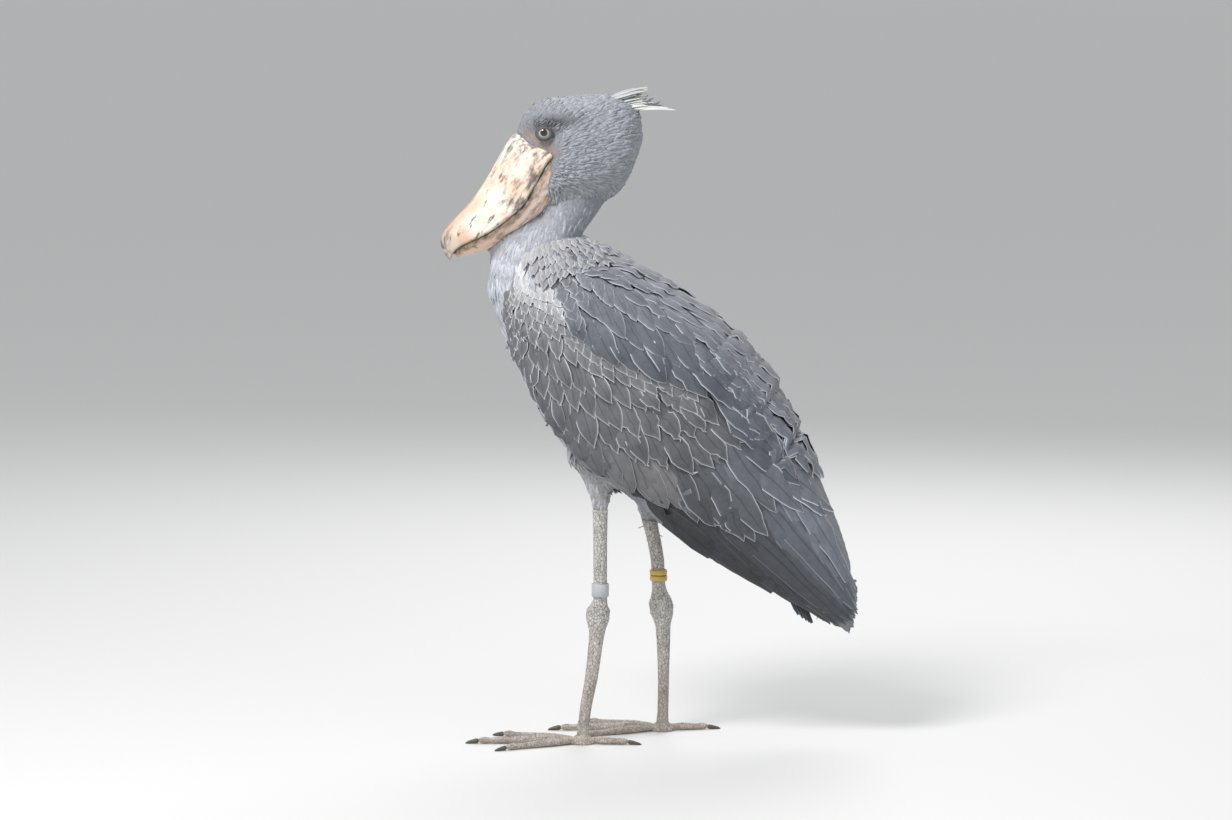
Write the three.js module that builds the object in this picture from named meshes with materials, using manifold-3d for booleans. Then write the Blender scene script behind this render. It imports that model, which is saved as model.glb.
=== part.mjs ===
// A shoebill standing at rest, life size, with its head drawn in and its bill lying on its breast.
// Millimetres, +Z up. The bird looks along -X, its left side is -Y, and it stands on z = 0.
import * as THREE from "three";
import { mergeVertices } from "three/addons/utils/BufferGeometryUtils.js";
import Module from "manifold-3d";

const wasm = await Module();
wasm.setup();

// Driving dimensions
const TRUNK_SLOPE = THREE.MathUtils.degToRad(44); // how steeply the trunk falls towards the tail
const TRUNK_START = { x: -193, z: 717 }; // on the breast, where the trunk's axis begins
const HALF_STANCE = 62; // from the middle of the bird to the middle of each leg
const EYE_RADIUS = 12;
const EYE = { x: -169, z: 992, y: 46 };
const GAP = 0.35; // clear space between neighbouring parts
const SEED = 11;

const { PI, sin, cos, abs, sqrt, hypot, exp, acos, atan2, max, min, sign } = Math;
const { lerp, clamp, smoothstep } = THREE.MathUtils;
const vec = (x, y, z) => new THREE.Vector3(x, y, z);

let seedState = SEED;
// An even random number from -1 to 1, the same on every run.
function jitter() {
  seedState = (seedState * 16807) % 2147483647;
  return (2 * seedState) / 2147483647 - 1;
}

// The values of rows [at, value, ...] at a place between them, smooth and without overshoot.
function between(rows, at) {
  const last = rows.length - 1;
  const place = clamp(at, rows[0][0], rows[last][0]);
  let i = 0;
  while (i < last - 1 && place > rows[i + 1][0]) i++;
  const step = (k) => rows[k + 1][0] - rows[k][0];
  const rise = (k, c) => (rows[k + 1][c] - rows[k][c]) / step(k);
  const slope = (k, c) => {
    if (k === 0) return rise(0, c);
    if (k === last) return rise(last - 1, c);
    const before = rise(k - 1, c);
    const after = rise(k, c);
    return before * after <= 0 ? 0 : (2 * before * after) / (before + after);
  };
  const t = (place - rows[i][0]) / step(i);
  const values = [];
  for (let c = 1; c < rows[i].length; c++) {
    const rising = step(i) * (t * (1 - t) * ((1 - t) * slope(i, c) - t * slope(i + 1, c)));
    values.push(lerp(rows[i][c], rows[i + 1][c], t * t * (3 - 2 * t)) + rising);
  }
  return values;
}

// One number from rows, with the last column squared between them, so that ends come out round.
function roundBetween(rows, at) {
  const squares = rows.map(([where, size]) => [where, size * size]);
  return sqrt(max(0, between(squares, at)[0]));
}

// Solids

// The solid inside a closed geometry, with its faces pointing out, grown evenly where asked.
function solidOf(geometry, grow = 0) {
  const bare = geometry.clone();
  bare.deleteAttribute("normal");
  bare.deleteAttribute("uv");
  const merged = mergeVertices(bare, 1e-3);
  const corners = new Uint32Array(merged.index.array);
  const at = (i) => vec().fromBufferAttribute(merged.attributes.position, corners[i]);
  let volume = 0;
  for (let i = 0; i < corners.length; i += 3) volume += at(i).dot(at(i + 1).cross(at(i + 2)));
  if (volume < 0)
    for (let i = 0; i < corners.length; i += 3)
      [corners[i + 1], corners[i + 2]] = [corners[i + 2], corners[i + 1]];
  merged.setIndex(new THREE.BufferAttribute(corners, 1));
  merged.computeVertexNormals();
  const points = new Float32Array(merged.attributes.position.array);
  const normals = merged.attributes.normal.array;
  for (let i = 0; i < points.length; i++) points[i] += normals[i] * grow;
  return new wasm.Manifold(
    new wasm.Mesh({ numProp: 3, vertProperties: points, triVerts: corners }),
  );
}

function largestBody(solid) {
  const bodies = solid.decompose();
  return bodies.reduce((best, body) => (body.volume() > best.volume() ? body : best));
}

function geometryOf(solid) {
  const mesh = largestBody(solid).getMesh();
  const geometry = new THREE.BufferGeometry();
  geometry.setAttribute("position", new THREE.BufferAttribute(mesh.vertProperties, 3));
  geometry.setIndex(new THREE.BufferAttribute(mesh.triVerts, 1));
  geometry.computeVertexNormals();
  return geometry;
}

const joined = (solids) => solids.reduce((whole, piece) => whole.add(piece));
const without = (solid, ...others) => others.reduce((rest, other) => rest.subtract(other), solid);

// A closed skin of rings. section(along, angle) gives its points, and both ends close to a point.
function loft(section, rings, sides, grow = 0) {
  const skin = new THREE.SphereGeometry(1, sides, rings);
  const place = skin.attributes.position;
  for (let i = 0; i < place.count; i++) {
    const along = Math.floor(i / (sides + 1)) / rings;
    const atEnd = along === 0 || along === 1;
    const angle = atEnd ? 0 : (((i % (sides + 1)) % sides) / sides) * 2 * PI;
    place.setXYZ(i, ...section(along, angle).toArray());
  }
  return solidOf(skin, grow);
}

function boxBetween(low, high) {
  const box = new THREE.BoxGeometry(high.x - low.x, high.y - low.y, high.z - low.z);
  return solidOf(box.translate((low.x + high.x) / 2, (low.y + high.y) / 2, (low.z + high.z) / 2));
}

function ball(center, radii, turn = 0, grow = 0) {
  const round = new THREE.SphereGeometry(1, 12, 8).scale(radii.x, radii.y, radii.z);
  return solidOf(round.rotateY(turn).translate(center.x, center.y, center.z), grow);
}

// The trunk's own axes: along the back, across the body, and up out of the back.
function onTrunk(along, across, up) {
  return vec(
    TRUNK_START.x + along * cos(TRUNK_SLOPE) + up * sin(TRUNK_SLOPE),
    across,
    TRUNK_START.z - along * sin(TRUNK_SLOPE) + up * cos(TRUNK_SLOPE),
  );
}

// Torso: rows of [along, top, bottom] and of [along, half width]
const TORSO_DEPTH = [
  [-82, 34, 30],
  [-60, 90, -28],
  [-20, 128, -58],
  [40, 151, -87],
  [100, 166, -110],
  [170, 177, -131],
  [240, 185, -131],
  [310, 181, -108],
  [380, 160, -78],
  [440, 126, -47],
  [500, 88, -22],
  [552, 50, 44],
];
const TORSO_WIDTH = [
  [-82, 0],
  [-60, 72],
  [-20, 96],
  [40, 110],
  [100, 118],
  [170, 120],
  [240, 118],
  [310, 110],
  [380, 96],
  [440, 76],
  [500, 50],
  [552, 0],
];

function torsoSolid(grow = 0) {
  const section = (u, angle) => {
    const along = lerp(-82, 552, (1 - cos(PI * u)) / 2);
    const [top, bottom] = between(TORSO_DEPTH, along);
    const end = u === 0 || u === 1 ? 0 : 1;
    return onTrunk(
      along,
      end * roundBetween(TORSO_WIDTH, along) * sin(angle),
      (top + bottom) / 2 + end * ((top - bottom) / 2) * cos(angle),
    );
  };
  return loft(section, 18, 20, grow);
}

// Neck: rows of [step, middle x, middle z, half depth, half width] from the nape down to the breast
const NECK_ROWS = [
  [0, -74, 958, 12, 10],
  [1, -84, 936, 46, 40],
  [2, -118, 882, 45, 43],
  [3, -150, 832, 41, 48],
  [4, -178, 796, 74, 66],
  [5, -190, 752, 78, 87],
  [6, -187, 703, 66, 96],
  [7, -172, 655, 58, 84],
  [8, -150, 625, 20, 30],
];

function neckSolid(grow = 0) {
  const last = NECK_ROWS.length - 1;
  const section = (u, angle) => {
    const at = u * last;
    const [x, z, halfDepth, halfWidth] = between(NECK_ROWS, at);
    const [xa, za] = between(NECK_ROWS, min(at + 0.2, last));
    const [xb, zb] = between(NECK_ROWS, max(at - 0.2, 0));
    const length = hypot(xa - xb, za - zb);
    const end = u === 0 || u === 1 ? 0 : 1;
    const [outX, outZ] = [(za - zb) / length, (xb - xa) / length];
    const depth = end * halfDepth * cos(angle);
    return vec(x + depth * outX, end * halfWidth * sin(angle), z + depth * outZ);
  };
  return loft(section, 14, 18, grow);
}

// Head: rows of [step, crown x, crown z, throat x, throat z, half width] from the bill to the nape
const HEAD_ROWS = [
  [0, -190, 940, -186, 930, 0],
  [1, -217, 994, -163, 871, 50],
  [2, -206, 1023, -151, 866, 54],
  [3, -176, 1045, -126, 868, 61],
  [4, -128, 1053, -93, 874, 66],
  [5, -76, 1055, -66, 882, 61],
  [6, -38, 1047, -44, 898, 50],
  [7, -16, 1024, -27, 928, 33],
  [8, -9, 976, -9, 974, 0],
];

const GAPE_ANGLE = 1.34; // from the crown round to the corner of the mouth, in radians
const GAPE_SETBACK = 40; // how far back the feathers' edge runs there

function headPoint(at, angle) {
  const [crownX, crownZ, throatX, throatZ] = between(HEAD_ROWS, at);
  const halfWidth = roundBetween(HEAD_ROWS.map((row) => [row[0], row[5]]), at);
  const upward = cos(angle);
  // The cheek is fullest below the middle, and the feathers' edge runs back to the gape.
  const cheek = sin(angle) * (1 - 0.07 * upward);
  const aroundGape = exp(-(((acos(upward) - GAPE_ANGLE) / 0.7) ** 2));
  const gape = GAPE_SETBACK * aroundGape * (1 - smoothstep(at, 1, 4.5)) * min(at, 1);
  return vec(
    (crownX + throatX) / 2 + ((crownX - throatX) / 2) * upward + gape,
    halfWidth * cheek,
    (crownZ + throatZ) / 2 + ((crownZ - throatZ) / 2) * upward,
  );
}

function headLoft(grow = 0) {
  const last = HEAD_ROWS.length - 1;
  return loft((u, angle) => headPoint(u * last, angle), 16, 18, grow);
}

// Bill: rows of [step, ridge x, ridge z, edge x, edge z, half width] from the gape to the hook
const UPPER_BILL_ROWS = [
  [0, -134, 966, -134, 964, 0],
  [0.5, -160, 971, -152, 955, 49],
  [1, -186, 977, -166, 942, 51],
  [2, -216, 992, -181, 917, 53],
  [3, -233, 970, -193, 897, 54],
  [4, -250, 940, -206, 878, 56],
  [5, -271, 904, -223, 861, 56],
  [6, -295, 872, -247, 842, 54],
  [7, -318, 849, -271, 827, 49],
  [8, -333, 833, -296, 815, 39],
  [9, -339, 817, -315, 803, 25],
  [10, -336, 802, -322, 789, 12],
  [11, -322, 781, -321, 780, 0],
];
const LOWER_BILL_ROWS = [
  [0, -130, 914, -130, 912, 0],
  [0.5, -151, 947, -146, 882, 47],
  [1, -166, 938, -162, 868, 50],
  [2, -185, 911, -180, 851, 51],
  [3, -202, 887, -202, 832, 50],
  [4, -224, 863, -226, 816, 49],
  [5, -250, 842, -251, 804, 45],
  [6, -274, 827, -275, 797, 38],
  [7, -297, 815, -297, 791, 27],
  [8, -312, 808, -310, 789, 14],
  [9, -318, 799, -318, 798, 0],
];

// The upper bill is a high vault: ridge on top, sides curving down to the cutting edges.
function upperBillPoint(at, angle) {
  const [ridgeX, ridgeZ, edgeX, edgeZ] = between(UPPER_BILL_ROWS, at);
  const halfWidth = roundBetween(UPPER_BILL_ROWS.map((row) => [row[0], row[5]]), at);
  const upward = cos(angle) > 0 ? cos(angle) : 0.1 * cos(angle);
  const side = sign(sin(angle)) * abs(sin(angle)) ** 0.8;
  const groove = 1 - 0.12 * exp(-(((upward - 0.87) / 0.06) ** 2));
  return vec(
    edgeX + (ridgeX - edgeX) * upward,
    halfWidth * side * groove,
    edgeZ + (ridgeZ - edgeZ) * upward,
  );
}

function lowerBillPoint(at, angle) {
  const [edgeX, edgeZ, keelX, keelZ] = between(LOWER_BILL_ROWS, at);
  const halfWidth = roundBetween(LOWER_BILL_ROWS.map((row) => [row[0], row[5]]), at);
  const downward = cos(angle) > 0 ? cos(angle) : 0.1 * cos(angle);
  const side = sign(sin(angle)) * abs(sin(angle)) ** 0.8;
  return vec(
    edgeX + (keelX - edgeX) * downward,
    halfWidth * side,
    edgeZ + (keelZ - edgeZ) * downward,
  );
}

function billLoft(rows, point, rings, sides, grow) {
  const lastRow = rows[rows.length - 1][0];
  return loft((u, angle) => point(u * lastRow, angle), rings, sides, grow);
}
const upperBill = (grow) => billLoft(UPPER_BILL_ROWS, upperBillPoint, 18, 24, grow);
const lowerBill = (grow) => billLoft(LOWER_BILL_ROWS, lowerBillPoint, 12, 14, grow);

// The nostrils: a narrow slit beside the ridge on each side, just ahead of the feathers
const NOSTRIL = { at: 2.35, angle: 0.62, halfLength: 6, halfWidth: 1.3, halfDepth: 3 };

function nostrilSolid(side) {
  const middle = upperBillPoint(NOSTRIL.at, side * NOSTRIL.angle);
  const ahead = upperBillPoint(NOSTRIL.at + 0.3, side * NOSTRIL.angle).sub(middle);
  const radii = vec(NOSTRIL.halfLength, NOSTRIL.halfDepth, NOSTRIL.halfWidth);
  return ball(middle, radii, -atan2(ahead.z, ahead.x));
}

// Wings: each is a shell folded round the trunk, from the middle of the back to its lower edge
const WING_FRONT = -34;
const WING_TIP = 758;
const WING_TOP = [
  [-34, 40],
  [-24, 74],
  [0, 124],
  [60, 157],
  [130, 179],
  [200, 190],
  [280, 199],
  [350, 193],
  [420, 171],
  [490, 147],
  [560, 117],
  [630, 85],
  [700, 42],
  [758, -28],
];
const WING_LOW = [
  [-34, 38],
  [-24, -4],
  [0, -55],
  [28, -73],
  [73, -96],
  [130, -118],
  [200, -134],
  [246, -132],
  [306, -120],
  [367, -117],
  [451, -110],
  [519, -98],
  [586, -74],
  [637, -56],
  [700, -50],
  [758, -32],
];
const WING_WIDTH = [
  [-34, 66],
  [0, 104],
  [60, 126],
  [110, 136],
  [180, 139],
  [250, 136],
  [310, 128],
  [380, 117],
  [450, 104],
  [520, 87],
  [600, 69],
  [680, 48],
  [758, 27],
];
const WING_SHOULDER = 0.42; // where across the wing it is widest, 0 on the back and 1 at the edge

// A point of the left wing's outer face; lift moves it out from the trunk.
function wingPoint(along, across, lift = 0) {
  const top = between(WING_TOP, along)[0];
  const low = between(WING_LOW, along)[0];
  const halfWidth = between(WING_WIDTH, along)[0];
  const tuck = lerp(0.5, 0.25, smoothstep(along, 60, 320));
  const t = clamp(across, 0, 1);
  const over = 1 - min(t / WING_SHOULDER, 1);
  const under = max(0, (t - WING_SHOULDER) / (1 - WING_SHOULDER));
  const spread = sqrt(1 - over * over) - tuck * under ** 2.2;
  const outUp = over > 0 ? over : -0.5 * under;
  const outLength = hypot(outUp, sqrt(1 - over * over));
  return onTrunk(
    along,
    -(halfWidth * spread + (lift * sqrt(1 - over * over)) / outLength),
    lerp(top, low, t) + (lift * outUp) / outLength,
  );
}

// How far across the wing a height above the trunk's axis lies
function wingAcross(along, up) {
  const [top] = between(WING_TOP, along);
  const [low] = between(WING_LOW, along);
  return (top - up) / (top - low);
}

// Near the shoulder the wing begins beside the mantle and not on the middle of the back.
const wingStart = (along) => 0.34 * (1 - smoothstep(along, -30, 90));

function wingShell() {
  const section = (u, angle) => {
    const along = lerp(WING_FRONT, WING_TIP, (1 - cos(PI * u)) / 2);
    const turn = angle / PI;
    const outer = turn <= 1;
    const across = lerp(wingStart(along), 1, outer ? turn : 2 - turn);
    const edge = sin(PI * min(turn, 2 - turn));
    const thickness = lerp(26, 7, smoothstep(along, 330, 560)) * sqrt(edge) + 3;
    const end = u === 0 || u === 1;
    return wingPoint(along, end ? 0.5 : across, end || outer ? 0 : -thickness);
  };
  return loft(section, 18, 14);
}

// Tail: a narrow folded fan of feathers, spread from a small fleshy root
const TAIL_ROOT = { along: 500, up: -6 };
const TAIL_FEATHERS = 8;
const TAIL_HALF_FAN = 30; // half the fan's width at its tips

function tailSolid() {
  const root = onTrunk(TAIL_ROOT.along, 0, TAIL_ROOT.up);
  const pieces = [ball(root, vec(30, 24, 12), TRUNK_SLOPE + 0.2)];
  for (let i = 0; i < TAIL_FEATHERS; i++) {
    const side = (2 * i) / (TAIL_FEATHERS - 1) - 1;
    const layer = 2.2 * abs(side);
    const from = onTrunk(TAIL_ROOT.along - 10, side * 14, TAIL_ROOT.up - layer);
    const to = onTrunk(700 - 34 * side * side, side * TAIL_HALF_FAN, -56 - layer);
    pieces.push(freeFeather(from, to, vec(0.7, -side * 0.3, 0.7), 22, 2.6, 3));
  }
  return joined(pieces);
}

// Legs: rows of [height, x, half depth, half width], the left leg a step ahead of the right
const LEFT_LEG = {
  side: -1,
  rows: [
    [2, -108, 6, 6],
    [8, -108, 11, 12],
    [30, -106, 9.5, 10.5],
    [64, -102, 10, 10.5],
    [105, -94, 11, 11],
    [160, -87, 12, 12],
    [187, -84, 14, 14],
    [204, -83, 19, 17],
    [218, -83, 19.5, 18],
    [229, -81, 14, 14],
    [238, -79, 11.5, 11.5],
    [300, -79, 11.5, 11.5],
    [378, -79, 12.5, 12.5],
    [388, -79, 16, 15],
    [410, -79, 22, 19],
    [440, -82, 34, 25],
    [480, -92, 46, 30],
    [520, -105, 20, 14],
  ],
  cuts: { hock: 190, shank: 238, thigh: 384 },
  foot: { x: -109 },
  heading: 180,
};
const RIGHT_LEG = {
  side: 1,
  rows: [
    [2, 23, 6, 6],
    [8, 23, 11, 12],
    [30, 24, 9.5, 10.5],
    [84, 25, 9.5, 10.5],
    [130, 25, 11, 11],
    [176, 24, 13, 13],
    [198, 22, 20, 17],
    [213, 21, 20.5, 18],
    [230, 19, 14, 14],
    [243, 17, 11.5, 11.5],
    [285, 15, 11.5, 11.5],
    [340, 4, 12.5, 12.5],
    [360, 0, 16, 15],
    [384, -4, 24, 19],
    [430, -14, 38, 26],
    [480, -30, 44, 30],
    [520, -46, 20, 14],
  ],
  cuts: { hock: 186, shank: 234, thigh: 352 },
  foot: { x: 23 },
  heading: 180,
};

function legColumn(leg) {
  const steps = leg.rows.length - 1;
  const section = (u, angle) => {
    const row = min(Math.floor(u * steps), steps - 1);
    const z = lerp(leg.rows[row][0], leg.rows[row + 1][0], u * steps - row);
    const [x, halfDepth, halfWidth] = between(leg.rows, z);
    const end = u === 0 || u === 1 ? 0 : 1;
    return vec(
      x + end * halfDepth * cos(angle),
      leg.side * HALF_STANCE + end * halfWidth * sin(angle),
      z,
    );
  };
  return loft(section, 2 * steps, 10);
}

function slice(solid, low, high) {
  return solid.intersect(boxBetween(vec(-500, -300, low + GAP / 2), vec(500, 300, high - GAP / 2)));
}

// Toes: [name, turn from the bird's heading, length, half thickness at the root and at the claw]
const TOES = [
  ["middle", 0, 150, 8.5, 6],
  ["inner", 27, 118, 8, 5.5],
  ["outer", -27, 126, 8, 5.5],
  ["hind", 172, 58, 7.5, 5.5],
];
const CLAW_LENGTH = 26;
const PAD = { halfLength: 21, halfWidth: 19, height: 19 };

// A toe lies flat on the ground, swelling a little at each of its joints.
function toeSolid(foot, turn, length, rootHalf, tipHalf, grow = 0) {
  const reach = PAD.halfWidth - 4;
  const section = (u, angle) => {
    const along = lerp(0, length, (1 - cos(PI * u)) / 2);
    const joints = 1 + 0.07 * cos(2 * PI * (along / length) * 3.5);
    const half = lerp(rootHalf, tipHalf, along / length) * joints * sqrt(sin(PI * clamp(u, 0, 1)));
    const rise = lerp(rootHalf, tipHalf, along / length) * 0.86;
    return vec(
      foot.x + (reach + along) * cos(turn) - sin(turn) * half * sin(angle),
      foot.y + (reach + along) * sin(turn) + cos(turn) * half * sin(angle),
      max(0, rise + half * cos(angle)),
    );
  };
  return loft(section, 8, 8, grow);
}

function clawSolid(foot, turn, length, tipHalf) {
  const start = PAD.halfWidth - 4 + length + GAP;
  const section = (u, angle) => {
    const along = u * CLAW_LENGTH;
    const half = (tipHalf - 1.2) * sqrt(1 - u) * (u === 0 ? 0 : 1);
    const middle = tipHalf * 0.86 - (tipHalf * 0.86 - 0.6) * u ** 1.6;
    return vec(
      foot.x + (start + along) * cos(turn) - sin(turn) * half * 0.8 * sin(angle),
      foot.y + (start + along) * sin(turn) + cos(turn) * half * 0.8 * sin(angle),
      max(0.2, middle + half * cos(angle)),
    );
  };
  return loft(section, 5, 6);
}

function padSolid(foot) {
  const section = (u, angle) => {
    const height = PAD.height * (1 - u);
    const wide = u === 0 || u === 1 ? 0 : sqrt(min(1, 0.35 + u));
    return vec(
      foot.x + PAD.halfLength * wide * cos(angle),
      foot.y + PAD.halfWidth * wide * sin(angle),
      u === 1 ? 0 : max(0, height - 4),
    );
  };
  return loft(section, 6, 10);
}

// A leg ring: a closed band standing just clear of the leg.
function ringSolid(x, y, low, high, inner, outer) {
  const profile = [
    new THREE.Vector2(inner, low),
    new THREE.Vector2(outer, low),
    new THREE.Vector2(outer, high),
    new THREE.Vector2(inner, high),
    new THREE.Vector2(inner, low),
  ];
  const band = new THREE.LatheGeometry(profile, 20).rotateX(PI / 2);
  return solidOf(band.translate(x, y, 0));
}

// Feathers

// How far along its shaft each cross section of a feather stands, and how wide it is there
const LONG_LEAF = [
  [0, 0.5],
  [0.45, 1],
  [0.82, 0.84],
  [1, 0.16],
];
const SHORT_LEAF = [
  [0, 0.7],
  [0.6, 1],
  [1, 0.2],
];

// A feather along a spine of { middle, out }: a thin leaf, ridged along its shaft on both faces
function leafSolid(stations, spine, width, thickness) {
  const last = stations.length - 1;
  const points = [];
  stations.forEach(([t, wide], station) => {
    const ahead = spine[min(station + 1, last)].middle;
    const behind = spine[max(station - 1, 0)].middle;
    const across = ahead.clone().sub(behind).cross(spine[station].out).normalize();
    const thick = lerp(thickness, 1, t);
    for (const [side, face] of [[-1, 0.5], [0, 1], [1, 0.5], [1, -0.5], [0, -1], [-1, -0.5]])
      points.push(
        spine[station].middle
          .clone()
          .addScaledVector(across, (side * wide * width) / 2)
          .addScaledVector(spine[station].out, (face * thick) / 2),
      );
  });
  const faces = [];
  for (let s = 0; s < last; s++)
    for (let k = 0; k < 6; k++) {
      const [a, b] = [s * 6 + k, s * 6 + ((k + 1) % 6)];
      const [c, d] = [b + 6, a + 6];
      if (k === 3 || k === 4) faces.push(a, b, d, b, c, d);
      else faces.push(a, b, c, a, c, d);
    }
  const end = last * 6;
  for (const [p, q, r] of [[0, 5, 4], [0, 4, 1], [1, 4, 3], [1, 3, 2]])
    faces.push(p, q, r, end + p, end + r, end + q);
  const leaf = new THREE.BufferGeometry();
  const place = new THREE.Float32BufferAttribute(points.flatMap((p) => p.toArray()), 3);
  leaf.setAttribute("position", place);
  leaf.setIndex(faces);
  return solidOf(leaf);
}

// A feather standing free from root to tip.
function freeFeather(root, tip, outward, width, thickness, bend) {
  const shaft = tip.clone().sub(root);
  const out = shaft.clone().cross(outward).cross(shaft).normalize();
  const spine = LONG_LEAF.map(([t]) => ({
    middle: root.clone().addScaledVector(shaft, t).addScaledVector(out, bend * t * (1 - t) * 4),
    out,
  }));
  return leafSolid(LONG_LEAF, spine, width, thickness);
}

// A feather lying on the wing, from its sunken root to its lifted tip, both given on the trunk's axes.
function wingFeather(stations, root, tip, width, thickness, lift) {
  const spine = stations.map(([t]) => {
    const along = lerp(root[0], tip[0], t);
    const across = wingAcross(along, lerp(root[1], tip[1], t));
    const rise = lerp(FEATHER_ROOT_DEPTH, lift, min(1, 1.4 * t));
    const middle = wingPoint(along, across, rise);
    return { middle, out: wingPoint(along, across, rise + 1).sub(middle).normalize() };
  });
  return leafSolid(stations, spine, width, thickness);
}

// Tiers of feathers on the wing, from the flight feathers up to the scapulars. The roots and the
// tips of each tier are rows of [step, along, up] on the trunk's axes, from the front to the back.
const FEATHER_ROOT_DEPTH = -3;
const FEATHER_TIERS = [
  {
    count: 8,
    width: 38,
    lift: 2.5,
    leaf: LONG_LEAF,
    roots: [[0, 292, -104], [0.5, 350, -40], [1, 400, 90]],
    tips: [[0, 584, -70], [0.25, 680, -38], [0.5, 738, -22], [0.75, 718, 12], [1, 650, 68]],
  },
  {
    count: 7,
    width: 42,
    lift: 4.5,
    leaf: LONG_LEAF,
    roots: [[0, 180, -104], [0.5, 306, -22], [1, 398, 80]],
    tips: [[0, 273, -116], [0.4, 410, -66], [0.7, 514, -36], [1, 522, 48]],
  },
  {
    count: 7,
    width: 42,
    lift: 6,
    leaf: SHORT_LEAF,
    roots: [[0, 10, -36], [0.4, 130, -60], [1, 340, 62]],
    tips: [[0, 56, -84], [0.3, 170, -102], [0.6, 280, -68], [1, 402, 44]],
  },
  {
    count: 6,
    width: 44,
    lift: 7.5,
    leaf: SHORT_LEAF,
    roots: [[0, -10, 16], [0.4, 60, 10], [1, 270, 84]],
    tips: [[0, 22, -46], [0.4, 130, -42], [1, 330, 64]],
  },
  {
    count: 6,
    width: 54,
    lift: 9,
    leaf: LONG_LEAF,
    roots: [[0, 20, 70], [0.4, 130, 104], [1, 360, 150]],
    tips: [[0, 88, 28], [0.4, 235, 66], [0.7, 370, 108], [1, 520, 112]],
  },
];

function tierFeathers({ count, width, lift, leaf, roots, tips }) {
  const feathers = [];
  for (let i = 0; i < count; i++) {
    const t = i / (count - 1);
    const [along, up] = between(tips, t);
    const tip = [along + 5 * jitter(), up];
    feathers.push(wingFeather(leaf, between(roots, t), tip, width, 2.6, lift + (i % 2)));
  }
  return feathers;
}

// Crest: a ragged tuft on the nape, its feathers fanned from one root
const CREST_COUNT = 6;
const CREST_ROOTS = [vec(-60, 0, 1042), vec(-30, 0, 1026)];
const CREST_TIPS = [vec(-2, 0, 1064), vec(44, 0, 1026)];

function crestSolid() {
  const feathers = [ball(vec(-38, 0, 1040), vec(22, 9, 9), PI / 5)];
  for (let i = 0; i < CREST_COUNT; i++) {
    const t = i / (CREST_COUNT - 1);
    const side = t === 0 || t === 1 ? 0 : (i % 3) - 1;
    const root = CREST_ROOTS[0].clone().lerp(CREST_ROOTS[1], t).add(vec(0, side * 5, 0));
    const short = 1 - 0.3 * sin(PI * t);
    const reach = CREST_TIPS[0].clone().lerp(CREST_TIPS[1], t).sub(root).multiplyScalar(short);
    const tip = root.clone().add(reach).add(vec(0, side * 9, 0));
    feathers.push(freeFeather(root, tip, vec(0.3, 0.4 * side, 1), lerp(15, 9, t), 4, 4));
  }
  return joined(feathers);
}

// Build the solids and part them from each other

const torso = torsoSolid();
const torsoGrown = torsoSolid(GAP);
const billUpper = without(upperBill(0), nostrilSolid(-1), nostrilSolid(1));
const billUpperGrown = upperBill(GAP);
const billLower = without(lowerBill(0), billUpperGrown);
const billLowerGrown = lowerBill(GAP);

function eyeBall(side, grow = 0) {
  const size = EYE_RADIUS + grow;
  return ball(vec(EYE.x, side * EYE.y, EYE.z), vec(size, size, size));
}

function headSolid(grow = 0) {
  const lids = [];
  const openings = [];
  for (const side of [-1, 1]) {
    lids.push(ball(vec(EYE.x, side * (EYE.y - 1), EYE.z), vec(15, 13.5, 14), 0, grow));
    lids.push(ball(vec(EYE.x + 4, side * (EYE.y - 6), EYE.z + 14), vec(27, 11, 8), 0.25, grow));
    openings.push(eyeBall(side, GAP));
    openings.push(ball(vec(EYE.x - 1, side * (EYE.y + 12), EYE.z - 1), vec(11, 14, 8.5), 0.2));
  }
  const whole = joined([headLoft(grow), ...lids]);
  return grow > 0 ? whole : without(whole, ...openings, billUpperGrown, billLowerGrown);
}

const head = headSolid();
const headGrown = headSolid(2 * GAP);
const neck = without(neckSolid(), torsoGrown, headGrown, billUpperGrown, billLowerGrown);

const leftHalf = boxBetween(vec(-600, -300, -100), vec(600, -GAP, 1200));
const feathers = FEATHER_TIERS.flatMap(tierFeathers);
const wing = joined([wingShell(), ...feathers]).intersect(leftHalf);
const neckGrown = neckSolid(GAP);

// Parts

const PAINT = {
  feather: new THREE.MeshStandardMaterial({ color: 0x87898f, roughness: 0.85, metalness: 0 }),
  wing: new THREE.MeshStandardMaterial({ color: 0x777a80, roughness: 0.8, metalness: 0 }),
  flight: new THREE.MeshStandardMaterial({ color: 0x4a4c50, roughness: 0.7, metalness: 0 }),
  breast: new THREE.MeshStandardMaterial({ color: 0xa9abb0, roughness: 0.9, metalness: 0 }),
  horn: new THREE.MeshStandardMaterial({ color: 0xe6d3c4, roughness: 0.5, metalness: 0 }),
  eye: new THREE.MeshStandardMaterial({ color: 0xb9b49a, roughness: 0.15, metalness: 0 }),
  leg: new THREE.MeshStandardMaterial({ color: 0xa39a92, roughness: 0.8, metalness: 0 }),
  claw: new THREE.MeshStandardMaterial({ color: 0x4a4540, roughness: 0.5, metalness: 0 }),
  bandGrey: new THREE.MeshStandardMaterial({ color: 0xd4d7da, roughness: 0.45, metalness: 0 }),
  bandYellow: new THREE.MeshStandardMaterial({ color: 0xd2a93c, roughness: 0.45, metalness: 0 }),
};

const shoebill = new THREE.Group();

function addPart(name, solid, paint) {
  const part = new THREE.Mesh(geometryOf(solid), paint);
  part.name = name;
  shoebill.add(part);
}

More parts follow.
